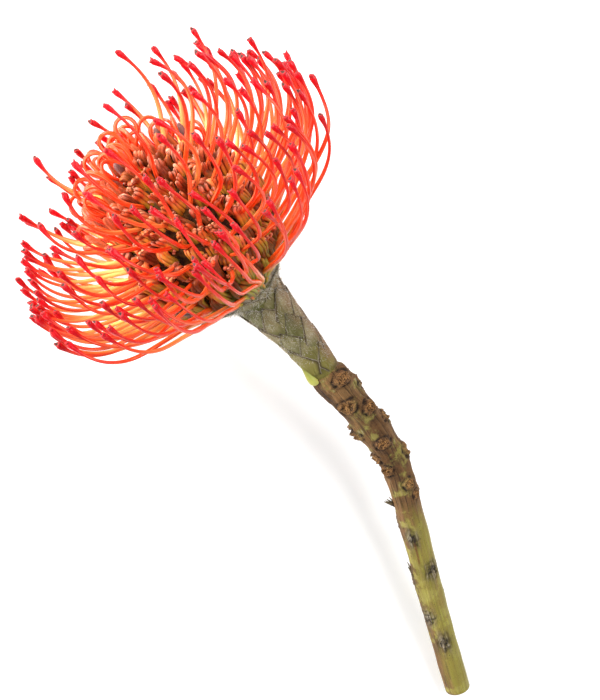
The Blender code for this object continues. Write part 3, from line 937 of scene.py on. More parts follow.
# The neck's own skin between the bracts, and the leaf foot at its lower end
def buildNeckSkin(material):
    rings, length = 60, neck["length"] * mm

    def corner(k, j, turn):
        distance = mixed(-6.5 * mm, length + 1.2 * mm, k / (rings - 1))
        tuck = 0.5 * mm * smoothStep((distance - length + 0.6 * mm) / mm)
        spot = Vector(onNeck(distance, turn, -tuck))
        place = onNeck(distance, turn, 0.15 * mm * noise.noise(spot * 420) - tuck)
        # along 0.15 gives the skin the dark colour of the bracts' feet, painted shade between the bracts
        return place, {"along": 0.15, "edge": 0.0, "downy": 0.2, "across": 3 * math.cos(turn * 2),
                       "tint": 0.5 + 0.5 * noise.noise(spot * 120),
                       "low": float(smoothStep((distance / mm - 31) / 8)),
                       "right": 0.5 + 0.5 * math.cos(turn)}

    return addPiece(ringedMesh("neckSkin", rings, 56, corner, material))


leafFoot = {"rings": 18, "sides": 18, "degrees": 160, "above": 9.0, "length": 10.6}


def buildLeafFoot(material):
    rings, angle = leafFoot["rings"], math.radians(leafFoot["degrees"])

    def corner(k, j, turn):
        s = k / (rings - 1)
        distance = (neck["length"] - leafFoot["above"] + leafFoot["length"] * s) * mm
        _, along, side, upright = stemPath.cross(distance)
        radial = side * math.cos(angle) + upright * math.sin(angle)
        size = (0.4 + 1.5 * smoothStep(s * 1.1)) * mm
        size *= math.sqrt(max(1 - max((s - 0.78) / 0.22, 0.0) ** 2.2, 0.015))
        out = neckRadius(distance) + 0.2 * mm + 0.5 * mm * smoothStep(s * 1.2)
        centre = stemPath.onSkin(distance, angle - 0.1 * s, out - 0.5 * mm * s**3)
        place = (centre + np.cross(along, radial) * math.cos(turn) * size
                 + radial * math.sin(turn) * size * 0.9)
        return place, {"along": s}

    return addPiece(ringedMesh("leafFoot", rings, leafFoot["sides"], corner, material))


# Flower head

dome = {
    "florets": 208,
    "radius": 26.6,
    "middle": 29.5,
    "up": 30.0,
    "down": 31.0,
    "lowAngle": math.radians(118),
    "seatTop": 36.0,
    "seatDepth": 34.0,
    "seatRadius": 8.5,
    "floretBend": math.radians(20),
    "footRadius": 7.9,
    "shoulder": (12.0, 5.0),
    "coreSink": 5.6,
    "bedSides": 72,
    "bedBumps": (1.2, 320),
}


def domePoint(angle):
    reach = dome["up"] if angle < math.pi / 2 else dome["down"]
    return np.array([dome["radius"] * math.sin(angle),
                     dome["middle"] + reach * math.cos(angle)]) * mm


def seatPoint(angle):
    share = angle / dome["lowAngle"]
    radius = dome["seatRadius"] * math.sin(min(0.8 * angle, math.pi / 2))
    return np.array([radius, dome["seatTop"] - dome["seatDepth"] * share**1.15]) * mm


# The dome's angle for each floret, so that all cover a like area
def domeAngles(count, offset=0.5):
    angles = np.linspace(dome["lowAngle"], 0.0, 400)
    profile = np.array([domePoint(a) for a in angles])
    steps = np.linalg.norm(np.diff(profile, axis=0), axis=1)
    bands = np.concatenate([[0.0], np.cumsum(steps * (profile[1:, 0] + profile[:-1, 0]))])
    return np.interp((np.arange(count) + offset) / count, bands / bands[-1], angles)


styles = {
    "lengthLow": 67.5,
    "lengthTop": 53.0,
    "lopsided": 0.035,
    "lowLean": math.radians(12),
    "rings": 34,
    "sides": 7,
    "flatness": 0.8,
    "rootRadius": 0.92,
    "middleRadius": 0.75,
    "waistRadius": 0.52,
    "clubLength": 6.0,
    "floorClear": 0.1,
    "floorSoftness": 1.3,
    "widest": 56.4,
}
# Half the club's width, by millimetres from its end
clubShape = ((0.0, 0.66), (0.12, 0.8), (0.4, 0.95), (0.9, 1.06), (1.7, 1.0), (2.6, 0.86),
             (3.6, 0.7), (4.8, 0.57), (6.0, 0.52))


# Bends what would go through the surface along it, and holds in what strays to the sides
def pressed(points, least):
    points = np.array(points)
    softness = styles["floorSoftness"] * mm
    points[:, 2] = least + softness * np.logaddexp(0.0, (points[:, 2] - least) / softness)
    most = styles["widest"] * mm
    for side in (-1, 1):
        over = np.maximum(side * points[:, 1] - most + 6 * mm, 0.0)
        points[:, 1] -= side * (over - 6 * mm * np.tanh(over / (6 * mm)))
    return points


# How far round to the side away from the photo's view a floret stands, from -1 to 1
def awaySide(turn):
    return -math.cos(turn - math.radians(25))


# What one floret is like: all that varies comes from its own seeded draw
def floretFacts(index, angle):
    draw = seeded("florets", index)
    share = angle / dome["lowAngle"]
    seat = seatPoint(angle)
    tip = seat + (domePoint(angle) - seat) * draw.uniform(0.96, 1.05)
    bend = dome["floretBend"] * share**0.7
    lean = math.atan2(*(tip - seat)) + bend
    lower = smoothStep((share - 0.6) / 0.4)
    turn = index * goldenAngle + draw.uniform(-0.05, 0.05)
    length = mixed(styles["lengthTop"], styles["lengthLow"], share**0.6) * mm
    length *= 1 + styles["lopsided"] * math.sin(turn)
    facts = {
        "index": index,
        "share": share,
        "turn": turn,
        "seat": seat,
        "tip": tip,
        "bend": bend,
        "lean": lean,
        "length": length * draw.uniform(0.93, 1.04),
        "openLean": lean + math.radians(2 + 30 * (1 - share) + draw.uniform(-4, 4))
        - styles["lowLean"] * lower,
        "endLean": math.radians(-20 + 45 * share - 30 * share**2 + draw.uniform(-12, 12)),
        "sway": draw.uniform(-0.16, 0.16),
        "bendFrom": draw.uniform(0.44, 0.55),
        "bendTo": draw.uniform(0.98, 1.14) + 0.05 * lower,
    }
    away = awaySide(turn)
    draw.random()  # passed over, so that later draws stay the same
    facts["hooped"] = angle < math.radians(53) and away > 0.1 and draw.random() < 0.75
    more = seeded("rolls", index)
    facts["roll"] = math.radians(more.uniform(35, 95)) * (1 if more.random() < 0.5 else -1)
    elbowed = share > 0.78 and seeded("elbows", index).random() < 0.6
    elbow = math.radians(seeded("elbowSizes", index).uniform(8, 28)) if elbowed else 0.0
    facts["elbow"] = elbow * (0.25 + 0.75 * bell(math.sin(turn / 2), 0.55))
    facts["bow"] = seeded("bows", index).uniform(-3.4, 3.4) * mm if elbowed else 0.0
    # shade: how much painted backlight glow a floret gets, a paler, yellower colour standing in for light
    # shining through its styles and claws from behind; strongest on the side away from the view
    facts["shade"] = float(smoothStep((away + 0.35) / 1.2))
    return facts


# The floret's own middle line as (radius, height), bent towards the head's axis
def floretLine(facts, shares):
    seat, tip = facts["seat"], facts["tip"]
    chord = tip - seat
    outward = np.array([chord[1], -chord[0]])
    elbow = seat + 0.5 * chord + 0.5 * math.tan(facts["bend"]) * outward
    return [(1 - s) ** 2 * seat + 2 * s * (1 - s) * elbow + s * s * tip for s in shares]


# The least height at a radius that keeps a style inside the collar
def insideCollar(radius):
    if radius > neck["collarReach"] * mm:
        return -1.0
    return (np.interp(radius / mm, flare[:, 1], flare[:, 2]) + 1.0) * mm


# An open style: out of its floret, leaning outwards, then round to the axis's direction
def styleTrack(facts, steps=160):
    radius, height = facts["seat"]
    length = facts["length"]
    track = [(radius, height, 0.0)]
    for k in range(steps):
        s = (k + 0.5) / steps
        lean = facts["lean"] + (facts["openLean"] - facts["lean"]) * smoothStep(s / 0.35)
        late = smoothStep((s - facts["bendFrom"]) / (facts["bendTo"] - facts["bendFrom"]))
        lean += (facts["endLean"] - facts["openLean"]) * late
        lean += facts["elbow"] * (bell(s - 0.12, 0.09) - 0.2 * bell(s - 0.34, 0.12))
        radius += math.sin(lean) * length / steps
        height = max(height + math.cos(lean) * length / steps, insideCollar(radius))
        aside = facts["sway"] * length * max(0.0, s - 0.3) ** 1.6
        track.append((radius, height, aside + facts["bow"] * bell(s - 0.3, 0.16)))
    return np.array(track)


# Young styles, in millimetres and degrees: a pair says between what and what
hoops = {
    "corners": 30,
    "arcRadius": (2.4, 4.8),
    "leg": (3.0, 12.0),
    "under": 5.0,
    "arch": (185, 225),
    "halfWidth": (0.74, 0.6),
    "floorClear": 0.9,
}


# A young style whose tip the floret still holds: up, over in an arch to one side, and down
def hoopTrack(facts, count):
    tip, draw = facts["tip"], seeded("hoops", facts["index"])
    along = unit(tip - floretLine(facts, [0.8])[0])
    outward = np.array([along[1], -along[0]])
    radius, leg = draw.uniform(*hoops["arcRadius"]) * mm, draw.uniform(*hoops["leg"]) * mm
    under, arch = hoops["under"] * mm, math.radians(draw.uniform(*hoops["arch"]))
    lengths = (under + leg, radius * arch, 0.75 * leg + 2.5 * mm)
    total, steps = sum(lengths), 160
    rise, aside, track = -under, 0.0, []
    for k in range(steps + 1):
        way = (k + 0.5) / steps * total
        lean = arch * smoothStep((way - 0.75 * lengths[0]) / (lengths[1] + 0.25 * lengths[0]))
        lean -= 0.35 * bell(way - 0.4 * lengths[0], 0.3 * lengths[0])
        across = aside * math.cos(facts["roll"]) * outward
        place = tip + along * rise + across
        track.append((place[0], place[1], aside * math.sin(facts["roll"])))
        rise += math.cos(lean) * total / steps
        aside += math.sin(lean) * total / steps
    picked = np.linspace(0, steps, count)
    return np.stack([np.interp(picked, np.arange(steps + 1), np.array(track)[:, k])
                     for k in range(3)], axis=1)


# Shares of a line, closer together where it bends more
def sharesByBend(line, start, end, count):
    steps = np.diff(line, axis=0)
    lengths = np.linalg.norm(steps, axis=1)
    ways = steps / lengths[:, None]
    turns = np.arccos(np.clip(np.sum(ways[1:] * ways[:-1], axis=1), -1, 1))
    cost = lengths / lengths.sum()
    cost[1:] += 0.8 * turns
    total = np.concatenate([[0.0], np.cumsum(cost)])
    at = np.linspace(0.0, 1.0, len(line))
    wanted = np.linspace(np.interp(start, at, total), np.interp(end, at, total), count)
    return np.interp(wanted, total, at)


def styleHalfWidth(share, length):
    fromTip = (1 - share) * length / mm
    width = mixed(styles["rootRadius"], styles["middleRadius"], smoothStep(share * 2.2))
    width = mixed(width, styles["waistRadius"], smoothStep((share - 0.5) / 0.4))
    if fromTip < styles["clubLength"]:
        width = np.interp(fromTip, *zip(*clubShape))
    return width * mm


def styleLine(facts):
    draw = seeded("styles", facts["index"])
    track = styleTrack(facts)
    length = facts["length"]
    start = 0.3 * np.linalg.norm(facts["tip"] - facts["seat"]) / length
    clubShare = styles["clubLength"] * mm / length
    body = sharesByBend(track, start, 1 - clubShare, styles["rings"])
    club = 1 - np.array([place for place, _ in clubShape[-2::-1]]) * mm / length
    shares = np.concatenate([body, club])
    at = np.linspace(0.0, 1.0, len(track))
    picked = np.stack([np.interp(shares, at, track[:, k]) for k in range(3)], axis=1)
    phase, wobble = draw.uniform(0, 6.28), draw.uniform(0.2, 0.7) * mm
    wobble *= mixed(1.0, 0.25, smoothStep((facts["share"] - 0.66) / 0.2))
    picked[:, 2] += wobble * np.sin(shares * 9 + phase) * smoothStep((shares - 0.25) * 3)
    picked[:, 0] += 0.6 * wobble * np.sin(shares * 12 + 2 * phase) * smoothStep((shares - 0.25) * 3)
    widths = np.array([styleHalfWidth(s, length) for s in shares]) * draw.uniform(0.92, 1.08)
    places = np.array([head.place(*p, facts["turn"]) for p in picked])
    places = pressed(places, 1.05 * mm + styles["floorClear"] * mm)
    values = {"halfWidth": widths, "along": shares, "shade": facts["shade"],
              "tint": draw.random(), "low": facts["share"],
              "club": smoothStep((shares - 1 + 1.15 * clubShare) / (0.8 * clubShare))}
    return places, values


def buildStyles(material, tipMaterial):
    lines, tips = Gatherer(), []
    for facts in openFlorets:
        places, values = styleLine(facts)
        lines.addLine(places, values)
        aim = unit(places[-1] - places[-5])
        draw = seeded("tips", facts["index"])
        outward = unit(np.cross(aim, (draw.uniform(-1, 1), draw.uniform(-1, 1), 0.5)))
        tips.append({"place": places[-1] - aim * 0.55 * mm, "aim": aim, "outward": outward,
                     "size": (1, 1, 1), "kind": draw.randrange(3)})
    made = lines.tubes("styles", material, styles["sides"], styles["flatness"])
    shapes = [stigmaShape(k) for k in range(3)]
    return made, setShapes("stigmaTips", tips, shapes, 3.1, 0.12, 31, tipMaterial)


# The oblique cup at a club's end: an uneven rim round the stigma's dark pit
def stigmaShape(number):
    draw = seeded("stigmas", number)
    profile = ((0.0, 0.72), (0.3, 0.94), (0.7, 0.98), (0.98, 0.78), (0.86, 0.44), (0.55, 0.14))
    slant, phase, last = draw.uniform(0.2, 0.5), draw.uniform(0.0, 2 * math.pi), len(profile) - 1

    def corner(ring, j, turn):
        height, width = profile[ring]
        lobes = 0.2 * math.sin(2 * turn + phase) + 0.12 * math.sin(3 * turn + 2 * phase)
        wide = width * (1 + 0.4 * lobes * height)
        x, y = wide * math.cos(turn), wide * math.sin(turn) * 0.85
        lift = (slant * x + lobes) * height * (1.0 if ring < last else 0.4)
        return (x * mm, y * mm, (height + lift) * mm), {"along": ring / last}

    return ringedMesh("stigmaShape", len(profile), 9, corner)


def buildHoops(material):
    lines = Gatherer()
    for facts in hoopedFlorets:
        draw = seeded("styles", facts["index"])
        count, least = hoops["corners"], hoops["floorClear"] * mm
        places = pressed([head.place(*p, facts["turn"]) for p in hoopTrack(facts, count)], least)
        shares = np.linspace(0, 1, count)
        width = mixed(*hoops["halfWidth"], shares) * mm * draw.uniform(0.9, 1.06)
        # shade below zero keeps the young styles out of the painted backlight glow
        lines.addLine(places, {"halfWidth": width, "along": 0.36 + 0.3 * shares, "shade": -0.3,
                               "tint": draw.random(), "low": facts["share"], "club": 0.0})
    return lines.tubes("youngStyles", material, styles["sides"], styles["flatness"])


# Florets: each a fold of plump claws side by side, with swollen ends that roll back

florets = {
    "length": 12.0,
    "clawWidth": 0.8,
    "clawDepth": 0.66,
    "spacing": math.radians(24),
    "foldRadius": 2.8,
    "from": 0.4,
    "stretch": 1.14,
    "stretchBent": 0.24,
    "twist": 0.6,
}
# How far a claw's end bends towards the head's axis, from the top of the dome down
bendLevels = tuple(math.radians(b) for b in (22, 56, 80, 92))
shapesPerBend = 4
# Sets of claws between the lattice's own places: steps on, degrees round, claws in each, height
fillerSets = ((6.5, -6.2, 3, 0.92), (4.0, 10.03, 2, 0.84))


def shapesByBend(makeShape, kind):
    return [makeShape(bendLevels[k // shapesPerBend], seeded(kind, k))
            for k in range(len(bendLevels) * shapesPerBend)]


def clawShape(bend, draw):
    roll = math.radians(draw.uniform(50, 120)) * (1 if draw.random() < 0.6 else -1)
    bend, side = bend * draw.uniform(0.6, 1.15), draw.uniform(-1.6, 1.6)
    steps, total = 60, florets["length"]
    spine, leans = [np.zeros(2)], []
    for k in range(steps):
        s = (k + 0.5) / steps
        leans.append(-bend * smoothStep((s - 0.15) / 0.7) + roll * smoothStep((s - 0.72) / 0.25))
        way = np.array([math.sin(leans[-1]), math.cos(leans[-1])])
        spine.append(spine[-1] + way * total / steps)
    spine, leans = np.array(spine), np.array(leans + leans[-1:])
    at = np.linspace(0, 1, steps + 1)
    profile = ((0.0, 0.8), (0.34, 1.0), (0.56, 1.08), (0.72, 1.05), (0.81, 1.0), (0.89, 1.0),
               (0.96, 0.9), (1.0, 0.4))

    def corner(k, j, turn):
        share, size = profile[k]
        x, z = (np.interp(share, at, spine[:, axis]) for axis in range(2))
        lean = np.interp(share, at, leans)
        uneven = size * draw.uniform(0.92, 1.08)
        out = florets["clawDepth"] * uneven * math.cos(turn)
        across = florets["clawWidth"] * uneven * math.sin(turn) + side * share**3
        place = ((x + math.cos(lean) * out) * mm, across * mm, (z - math.sin(lean) * out) * mm)
        return place, {"along": share, "clawX": math.cos(turn), "clawY": math.sin(turn),
                       "rim": float(smoothStep((share - 0.72) / 0.2))}

    return ringedMesh("clawShape", len(profile), 6, corner, phase=0.5)


# A floret that is still shut: four ribs round it, and a swollen downy end
def budShape(bend, draw):
    total = florets["length"]
    profile = ((0.0, 1.0), (0.35, 1.06), (0.62, 0.98), (0.76, 0.86), (0.84, 1.0), (0.93, 1.1),
               (1.0, 0.85), (1.04, 0.35))

    def corner(k, j, turn):
        share, width = profile[k]
        lean, x, z = -bend * share, -total * bend * share * share / 2, total * share
        out = width * (0.82 if j % 2 else 1.12) * draw.uniform(0.96, 1.04)
        place = ((x + math.cos(lean) * out * math.cos(turn)) * mm, out * math.sin(turn) * mm,
                 (z - math.sin(lean) * out * math.cos(turn)) * mm)
        return place, {"along": min(share, 1.0), "rib": 1.0 - j % 2,
                       "rim": float(smoothStep((share - 0.78) / 0.1))}

    return ringedMesh("budShape", len(profile), 8, corner)


def floretCorner(facts, draw):
    first, second = floretLine(facts, [florets["from"], florets["from"] + 0.04])
    way = unit(second - first)
    chord = np.linalg.norm(facts["tip"] - facts["seat"]) * (1 - florets["from"])
    level = min(int(facts["share"] * 5.0), 3)
    chord *= florets["stretch"] + florets["stretchBent"] * level / 3
    turn = facts["turn"]
    stretch = chord / (florets["length"] * mm)
    return {"place": head.place(*first, 0.0, turn),
            "aim": head.direction(*way, turn),
            "outward": head.direction(way[1], -way[0], turn),
            "size": (1.0, 1.0, stretch),
            "kind": level * shapesPerBend + draw.randrange(shapesPerBend),
            "values": {"low": facts["share"], "tint": draw.random(), "shade": facts["shade"]}}


# The claws of one floret, on an arc whose hollow faces sideways or to the head's axis
def clawCorners(facts, draw, count):
    face = math.radians(draw.uniform(-40, 40)) + math.pi * (draw.random() < 0.3)
    kind, shade = draw.randrange(shapesPerBend), draw.random()
    twist = draw.uniform(-florets["twist"], florets["twist"])
    convex = np.array([math.cos(face), math.sin(face)])
    corners = []
    for k in range(count):
        angle = face + florets["spacing"] * (k - (count - 1) / 2)
        own = np.array([math.cos(angle), math.sin(angle)])
        offset = (own - convex) * florets["foldRadius"] * mm
        corner = floretCorner(facts, draw)
        aim, outward = unit(corner["aim"]), np.array(corner["outward"])
        outward = outward * math.cos(twist) + np.cross(aim, outward) * math.sin(twist)
        across = np.cross(aim, outward)
        corner["place"] = corner["place"] + outward * offset[0] + across * offset[1]
        corner["outward"] = outward
        wide, _, tall = corner["size"]
        wide *= draw.uniform(0.9, 1.1)
        corner["size"] = (wide, wide, tall * draw.uniform(0.95, 1.03))
        corner["kind"] += kind - corner["kind"] % shapesPerBend
        corner["values"].update({"faceX": own[0], "faceY": own[1],
                                 "tint": 0.7 * shade + 0.3 * draw.random()})
        corners.append(corner)
    return corners


def buildClaws(material):
    corners = []
    for facts in openFlorets:
        corners += clawCorners(facts, seeded("claws", facts["index"]), 3)
    for number, (steps, degrees, count, height) in enumerate(fillerSets):
        for index, angle in enumerate(domeAngles(dome["florets"], offset=0.5 + steps)):
            if angle < 0.02:
                continue
            facts = floretFacts(index + 10000 * (number + 1), angle)
            draw = seeded("fillers", index + 300 * number)
            facts["turn"] = index * goldenAngle + math.radians(degrees) + draw.uniform(-0.05, 0.05)
            reach = height * draw.uniform(0.93, 1.05)
            facts["tip"] = facts["seat"] + (facts["tip"] - facts["seat"]) * reach
            corners += clawCorners(facts, draw, count)
    return setShapes("floretClaws", corners, shapesByBend(clawShape, "clawShapes"), 0.05, 0.02, 5, material)


def buildBuds(material):
    corners = [floretCorner(facts, seeded("claws", facts["index"])) for facts in hoopedFlorets]
    return setShapes("shutFlorets", corners, shapesByBend(budShape, "budShapes"), 0.8, 0.06, 8, material)


# Short hooked claws, left of withered florets, where the lowest row meets the collar
hooks = {"count": 120, "shortest": 5.0, "longest": 10.5, "halfWidth": 0.74, "sides": 6,
         "flatness": 0.75, "floorClear": 0.9}


def buildHooks(material):
    lines = Gatherer()
    for k in range(hooks["count"]):
        draw = seeded("hooks", k)
        turn = k * goldenAngle + draw.uniform(-0.1, 0.1)
        reach = draw.uniform(0.85, 1.9)
        radius = mixed(dome["footRadius"], dome["shoulder"][0], reach) * mm
        height = mixed(0.0, dome["shoulder"][1], reach) * mm + 0.3 * mm
        length = draw.uniform(hooks["shortest"], hooks["longest"]) * mm
        start, end = math.radians(draw.uniform(50, 85)), math.radians(draw.uniform(-30, 35))
        side, count = draw.uniform(-0.35, 0.35), 12
        track = [(radius - 1.5 * mm, height - 0.8 * mm, 0.0)]
        for s in (np.arange(count - 1) + 0.5) / (count - 1):
            lean = mixed(start, end, smoothStep((s - 0.25) / 0.75))
            step = length / (count - 1)
            last = track[-1]
            track.append((last[0] + math.sin(lean) * step, last[1] + math.cos(lean) * step,
                          last[2] + side * step))
        places = pressed([head.place(*p, turn) for p in track], hooks["floorClear"] * mm)
        shares = np.linspace(0, 1, count)
        width = hooks["halfWidth"] * mm * (0.85 + 0.25 * bell(shares - 0.85, 0.2))
        width = width * draw.uniform(0.85, 1.15)
        width[-1] *= 0.55
        lines.addLine(places, {"halfWidth": width, "along": shares, "tint": draw.random(),
                               "rim": smoothStep(shares * 2 - 1), "clawX": 1.0, "clawY": 0.0,
                               "faceX": 1.0, "faceY": 0.0, "low": 1.0})
    return lines.tubes("hookedClaws", material, hooks["sides"], hooks["flatness"])


# The receptacle with the florets' feet: an uneven egg a little inside the dome
def buildCore(material):
    profile = [(dome["footRadius"] * mm, 0.0), (dome["shoulder"][0] * mm, dome["shoulder"][1] * mm)]
    for angle in np.linspace(dome["lowAngle"], 0.0, 26)[:-1]:
        tip = domePoint(angle)
        profile.append(tuple(tip - unit(tip - seatPoint(angle)) * dome["coreSink"] * mm))
    profile.append((0.3 * mm, domePoint(0.0)[1] - dome["coreSink"] * mm))

    def corner(k, j, turn):
        radius, height = profile[k]
        depth, scale = dome["bedBumps"]
        spot = Vector(head.place(radius, height, 0.0, turn))
        bump = depth * mm * noise.noise(spot * scale) if 0 < k < len(profile) - 1 else 0.0
        return (head.place(radius + bump, height, 0.0, turn),
                {"low": 1 - k / len(profile), "hairy": 1.0})

    return addPiece(ringedMesh("floretBed", len(profile), dome["bedSides"], corner, material))


# Hairs: their width, then the density, length and lean of each kind

hairs = {
    "width": 0.055,
    "bedHairs": (0.3e6, 3.0, 0.6),
    "collarHairs": (3.4e6, 1.7, 0.9),
    "neckHairs": (1.4e6, 0.75, 1.0),
}


def hairShape(draw, length):
    bend, side = draw.uniform(0.2, 0.6), draw.uniform(-0.3, 0.3)
    profile = ((0.0, 1.0), (0.4, 0.8), (0.75, 0.5), (1.0, 0.15))

    def corner(k, j, turn):
        share, width = profile[k]
        place = (bend * share**2 * length + hairs["width"] * width * math.cos(turn),
                 side * share**2 * length + hairs["width"] * width * math.sin(turn), share * length)
        return tuple(number * mm for number in place), {}

    return ringedMesh("hairShape", len(profile), 3, corner)


# Hairs on a copy of a piece, where its corners are marked as hairy
def growHairs(name, piece, material, choose, seed):
    skin = addPiece(piece.data.copy())
    if choose:
        setValues(skin.data, {"hairy": choose(skin.data)})
    density, length, lean = hairs[name]
    shapes = [hairShape(seeded("hairShapes", k), length) for k in range(4)]
    return growPiece(name, hairsOnSkin, skin, shapes, Density=density, Lean=lean, Shortest=0.5,
                     Longest=1.2, Seed=seed, Material=material)


# The borders of the bracts that meet the florets
def collarBorders(mesh):
    edge, along, downy = readLayers(mesh, "edge along downy")
    return (edge > 0.5) * (along > 0.35) * (downy > 0.4)


# The outer ends of the neck's bracts: each bract has its front corners first, then its back ones
def bractEnds(mesh):
    (along,) = readLayers(mesh, "along")
    front = neck["rows"] * neck["columns"]
    return (along > 0.45) * (np.arange(len(along)) % (2 * front) < front)


# Materials


def stemBarkMaterial():
    nodes = Skin("stemBark", 0.22)
    brown, along, roundX, roundY = nodes.readAll("brown along roundX roundY")
    line = {"along": along, "roundX": roundX, "roundY": roundY}
    streaks = nodes.use(fibres, **line, count=6.0, stretch=9.0)["fibres"]
    wide = nodes.use(fibres, **line, count=1.6, stretch=5.0, offset=4.0)["fibres"]
    blotches, grain = nodes.use(mottle, size=330.0, low=0.42, high=0.6).values()
    lichen = nodes.use(mottle, size=150.0, low=0.5, high=0.64)["blotches"]
    green = nodes.mix(wide, (0.27, 0.235, 0.035), (0.43, 0.39, 0.07))
    green = nodes.coat(green, streaks, 0.5, (0.22, 0.14, 0.04))
    green = nodes.coat(green, lichen, 0.15, (0.50, 0.44, 0.18))
    # painted rim highlight: the green bark paler along one side of the stem
    green = nodes.mix(nodes.between(roundX, 0.8, 0.98, 0.0, 0.55), green, (0.62, 0.58, 0.34))
    umber = nodes.mix(wide, (0.06, 0.027, 0.010), (0.42, 0.23, 0.085))
    umber = nodes.coat(umber, streaks, 0.7, (0.07, 0.033, 0.014))
    umber = nodes.coat(umber, blotches, 0.3, (0.28, 0.13, 0.045))
    umber = nodes.coat(umber, lichen, 0.75, (0.30, 0.27, 0.07))
    silver = nodes.between(nodes.plus(lichen, streaks), 1.45, 1.85, 0.0, 0.4)
    umber = nodes.mix(silver, umber, (0.56, 0.49, 0.38))
    # dark fissures where the streaks are lowest: their own dark, deepened as painted shade in the grooves
    # of the bump
    umber = nodes.mix(nodes.between(streaks, 0.3, 0.1, 0.0, 0.75), umber, (0.028, 0.017, 0.010))
    uneven = nodes.plus(brown, nodes.timesPlus(lichen, -0.7, 0.2))
    uneven = nodes.plus(uneven, nodes.timesPlus(wide, 0.5, -0.25))
    color = nodes.mix(nodes.between(uneven, 0.1, 0.9), green, umber)
    color = nodes.coat(color, nodes.read("scarNear"), 0.42, (0.07, 0.034, 0.014))
    wood = nodes.mix(nodes.between(grain, 0.42, 0.58), (0.66, 0.33, 0.11), (0.08, 0.03, 0.011))
    color = nodes.coat(color, nodes.read("scarWood"), 0.9, wood)
    shreds = nodes.mix(nodes.between(streaks, 0.35, 0.65), (0.035, 0.026, 0.022),
                       (0.34, 0.29, 0.22))
    color = nodes.mix(nodes.read("torn"), color, shreds)
    broken = nodes.between(grain, 0.3, 0.5, 0.65, 1.0)
    color = nodes.coat(color, nodes.read("scarRing"), broken, (0.022, 0.013, 0.009))
    color = nodes.coat(color, nodes.read("scarPit"), 0.95, (0.012, 0.008, 0.006))
    color = nodes.mix(nodes.read("crack"), color, (0.15, 0.055, 0.018))
    color = nodes.mix(nodes.between(grain, 0.64, 0.72), color, (0.035, 0.022, 0.014))
    return nodes.finish(color, nodes.timesPlus(brown, 0.2, 0.52),
                        nodes.plus(nodes.times(streaks, 0.8), grain), 0.8, 0.0005)


def cutWoodMaterial():
    nodes = Skin("cutWood", 0.3)
    share, roundX, roundY = nodes.readAll("along roundX roundY")
    rays = nodes.use(fibres, along=share, roundX=roundX, roundY=roundY, count=9.0,
                     stretch=1.5)["fibres"]
    blotches, grain = nodes.use(mottle, size=900.0).values()
    color = nodes.ramp(share, ((0.0, 0.36, 0.27, 0.13), (0.18, 0.42, 0.33, 0.17),
                               (0.3, 0.58, 0.52, 0.3), (0.8, 0.55, 0.52, 0.27),
                               (0.9, 0.26, 0.28, 0.08), (1.0, 0.13, 0.09, 0.04)))
    color = nodes.coat(color, rays, 0.3, (0.40, 0.32, 0.14))
    return nodes.finish(color, nodes.timesPlus(blotches, 0.15, 0.6), grain, 0.5, 0.0003)


def bractMaterial():
    nodes = Skin("bractSkin", 0.2)
    along, edge, across, tint, downy, low, right = nodes.readAll(
        "along edge across tint downy low right")
    blotches = nodes.use(mottle, size=240.0, low=0.4, high=0.6)["blotches"]
    wide = nodes.use(mottle, size=110.0, low=0.4, high=0.62)["blotches"]
    veins = nodes.use(fibres, along=along, roundX=across, roundY=tint, count=6.0, stretch=2.0,
                      offset=nodes.times(tint, 30.0))["fibres"]
    green = nodes.mix(tint, (0.17, 0.17, 0.045), (0.40, 0.29, 0.135))
    green = nodes.coat(green, blotches, 0.5, (0.30, 0.205, 0.13))
    green = nodes.coat(green, veins, 0.5, (0.52, 0.47, 0.30))
    green = nodes.coat(green, wide, 0.5, (0.12, 0.11, 0.03))
    # painted shade: each bract darker towards its foot, where the bract above covers it
    color = nodes.mix(nodes.between(along, 0.62, 0.2, 0.0, 0.7), green, (0.12, 0.125, 0.025))
    color = nodes.coat(color, low, 0.7, (0.30, 0.25, 0.045))
    # browner towards one side of the neck: partly its own brown, partly painted shade on that side
    brownAndShadedSide = nodes.between(nodes.timesPlus(wide, 0.15, right), 0.72, 1.05, 0.0, 0.75)
    color = nodes.mix(brownAndShadedSide, color, (0.28, 0.145, 0.085))
    # painted shadow along each bract's margins, under its pale rim; less on the downier bracts
    color = nodes.coat(color, nodes.between(edge, 0.3, 0.75), nodes.timesPlus(downy, -0.8, 1.05),
                       (0.06, 0.036, 0.02))
    # pale pinkish brown of the woolly inner bracts: partly their own colour, partly painted light lifting
    # them out of the shade under the florets
    color = nodes.mix(nodes.between(downy, 0.7, 1.0, 0.0, 0.65), color, (0.60, 0.44, 0.31))
    down, height = nodes.use(downyBloom, size=3200.0, cover=0.6).values()
    color = nodes.coat(color, down, nodes.timesPlus(downy, 0.45, 0.36), (0.68, 0.60, 0.46))
    color = nodes.coat(color, nodes.between(edge, 0.8, 0.97), nodes.timesPlus(downy, 0.55, 0.4),
                       (0.70, 0.60, 0.45))
    return nodes.finish(color, nodes.timesPlus(down, 0.15, 0.62),
                        nodes.plus(height, nodes.times(veins, 1.2)), 1.0, 0.0005)


# A plain skin: stops of colour along the piece, and blotches of one more colour over them
def skinMaterial(name, specular, stops, size, span, amount, color, rough, bump, vary=None):
    nodes = Skin(name, specular)
    blotches, grain = nodes.use(mottle, size=size, low=span[0], high=span[1]).values()
    under = nodes.ramp(nodes.read("along"), stops)
    return nodes.finish(nodes.coat(under, blotches, amount, color),
                        nodes.timesPlus(nodes.read(vary) if vary else blotches, *rough), grain, *bump)


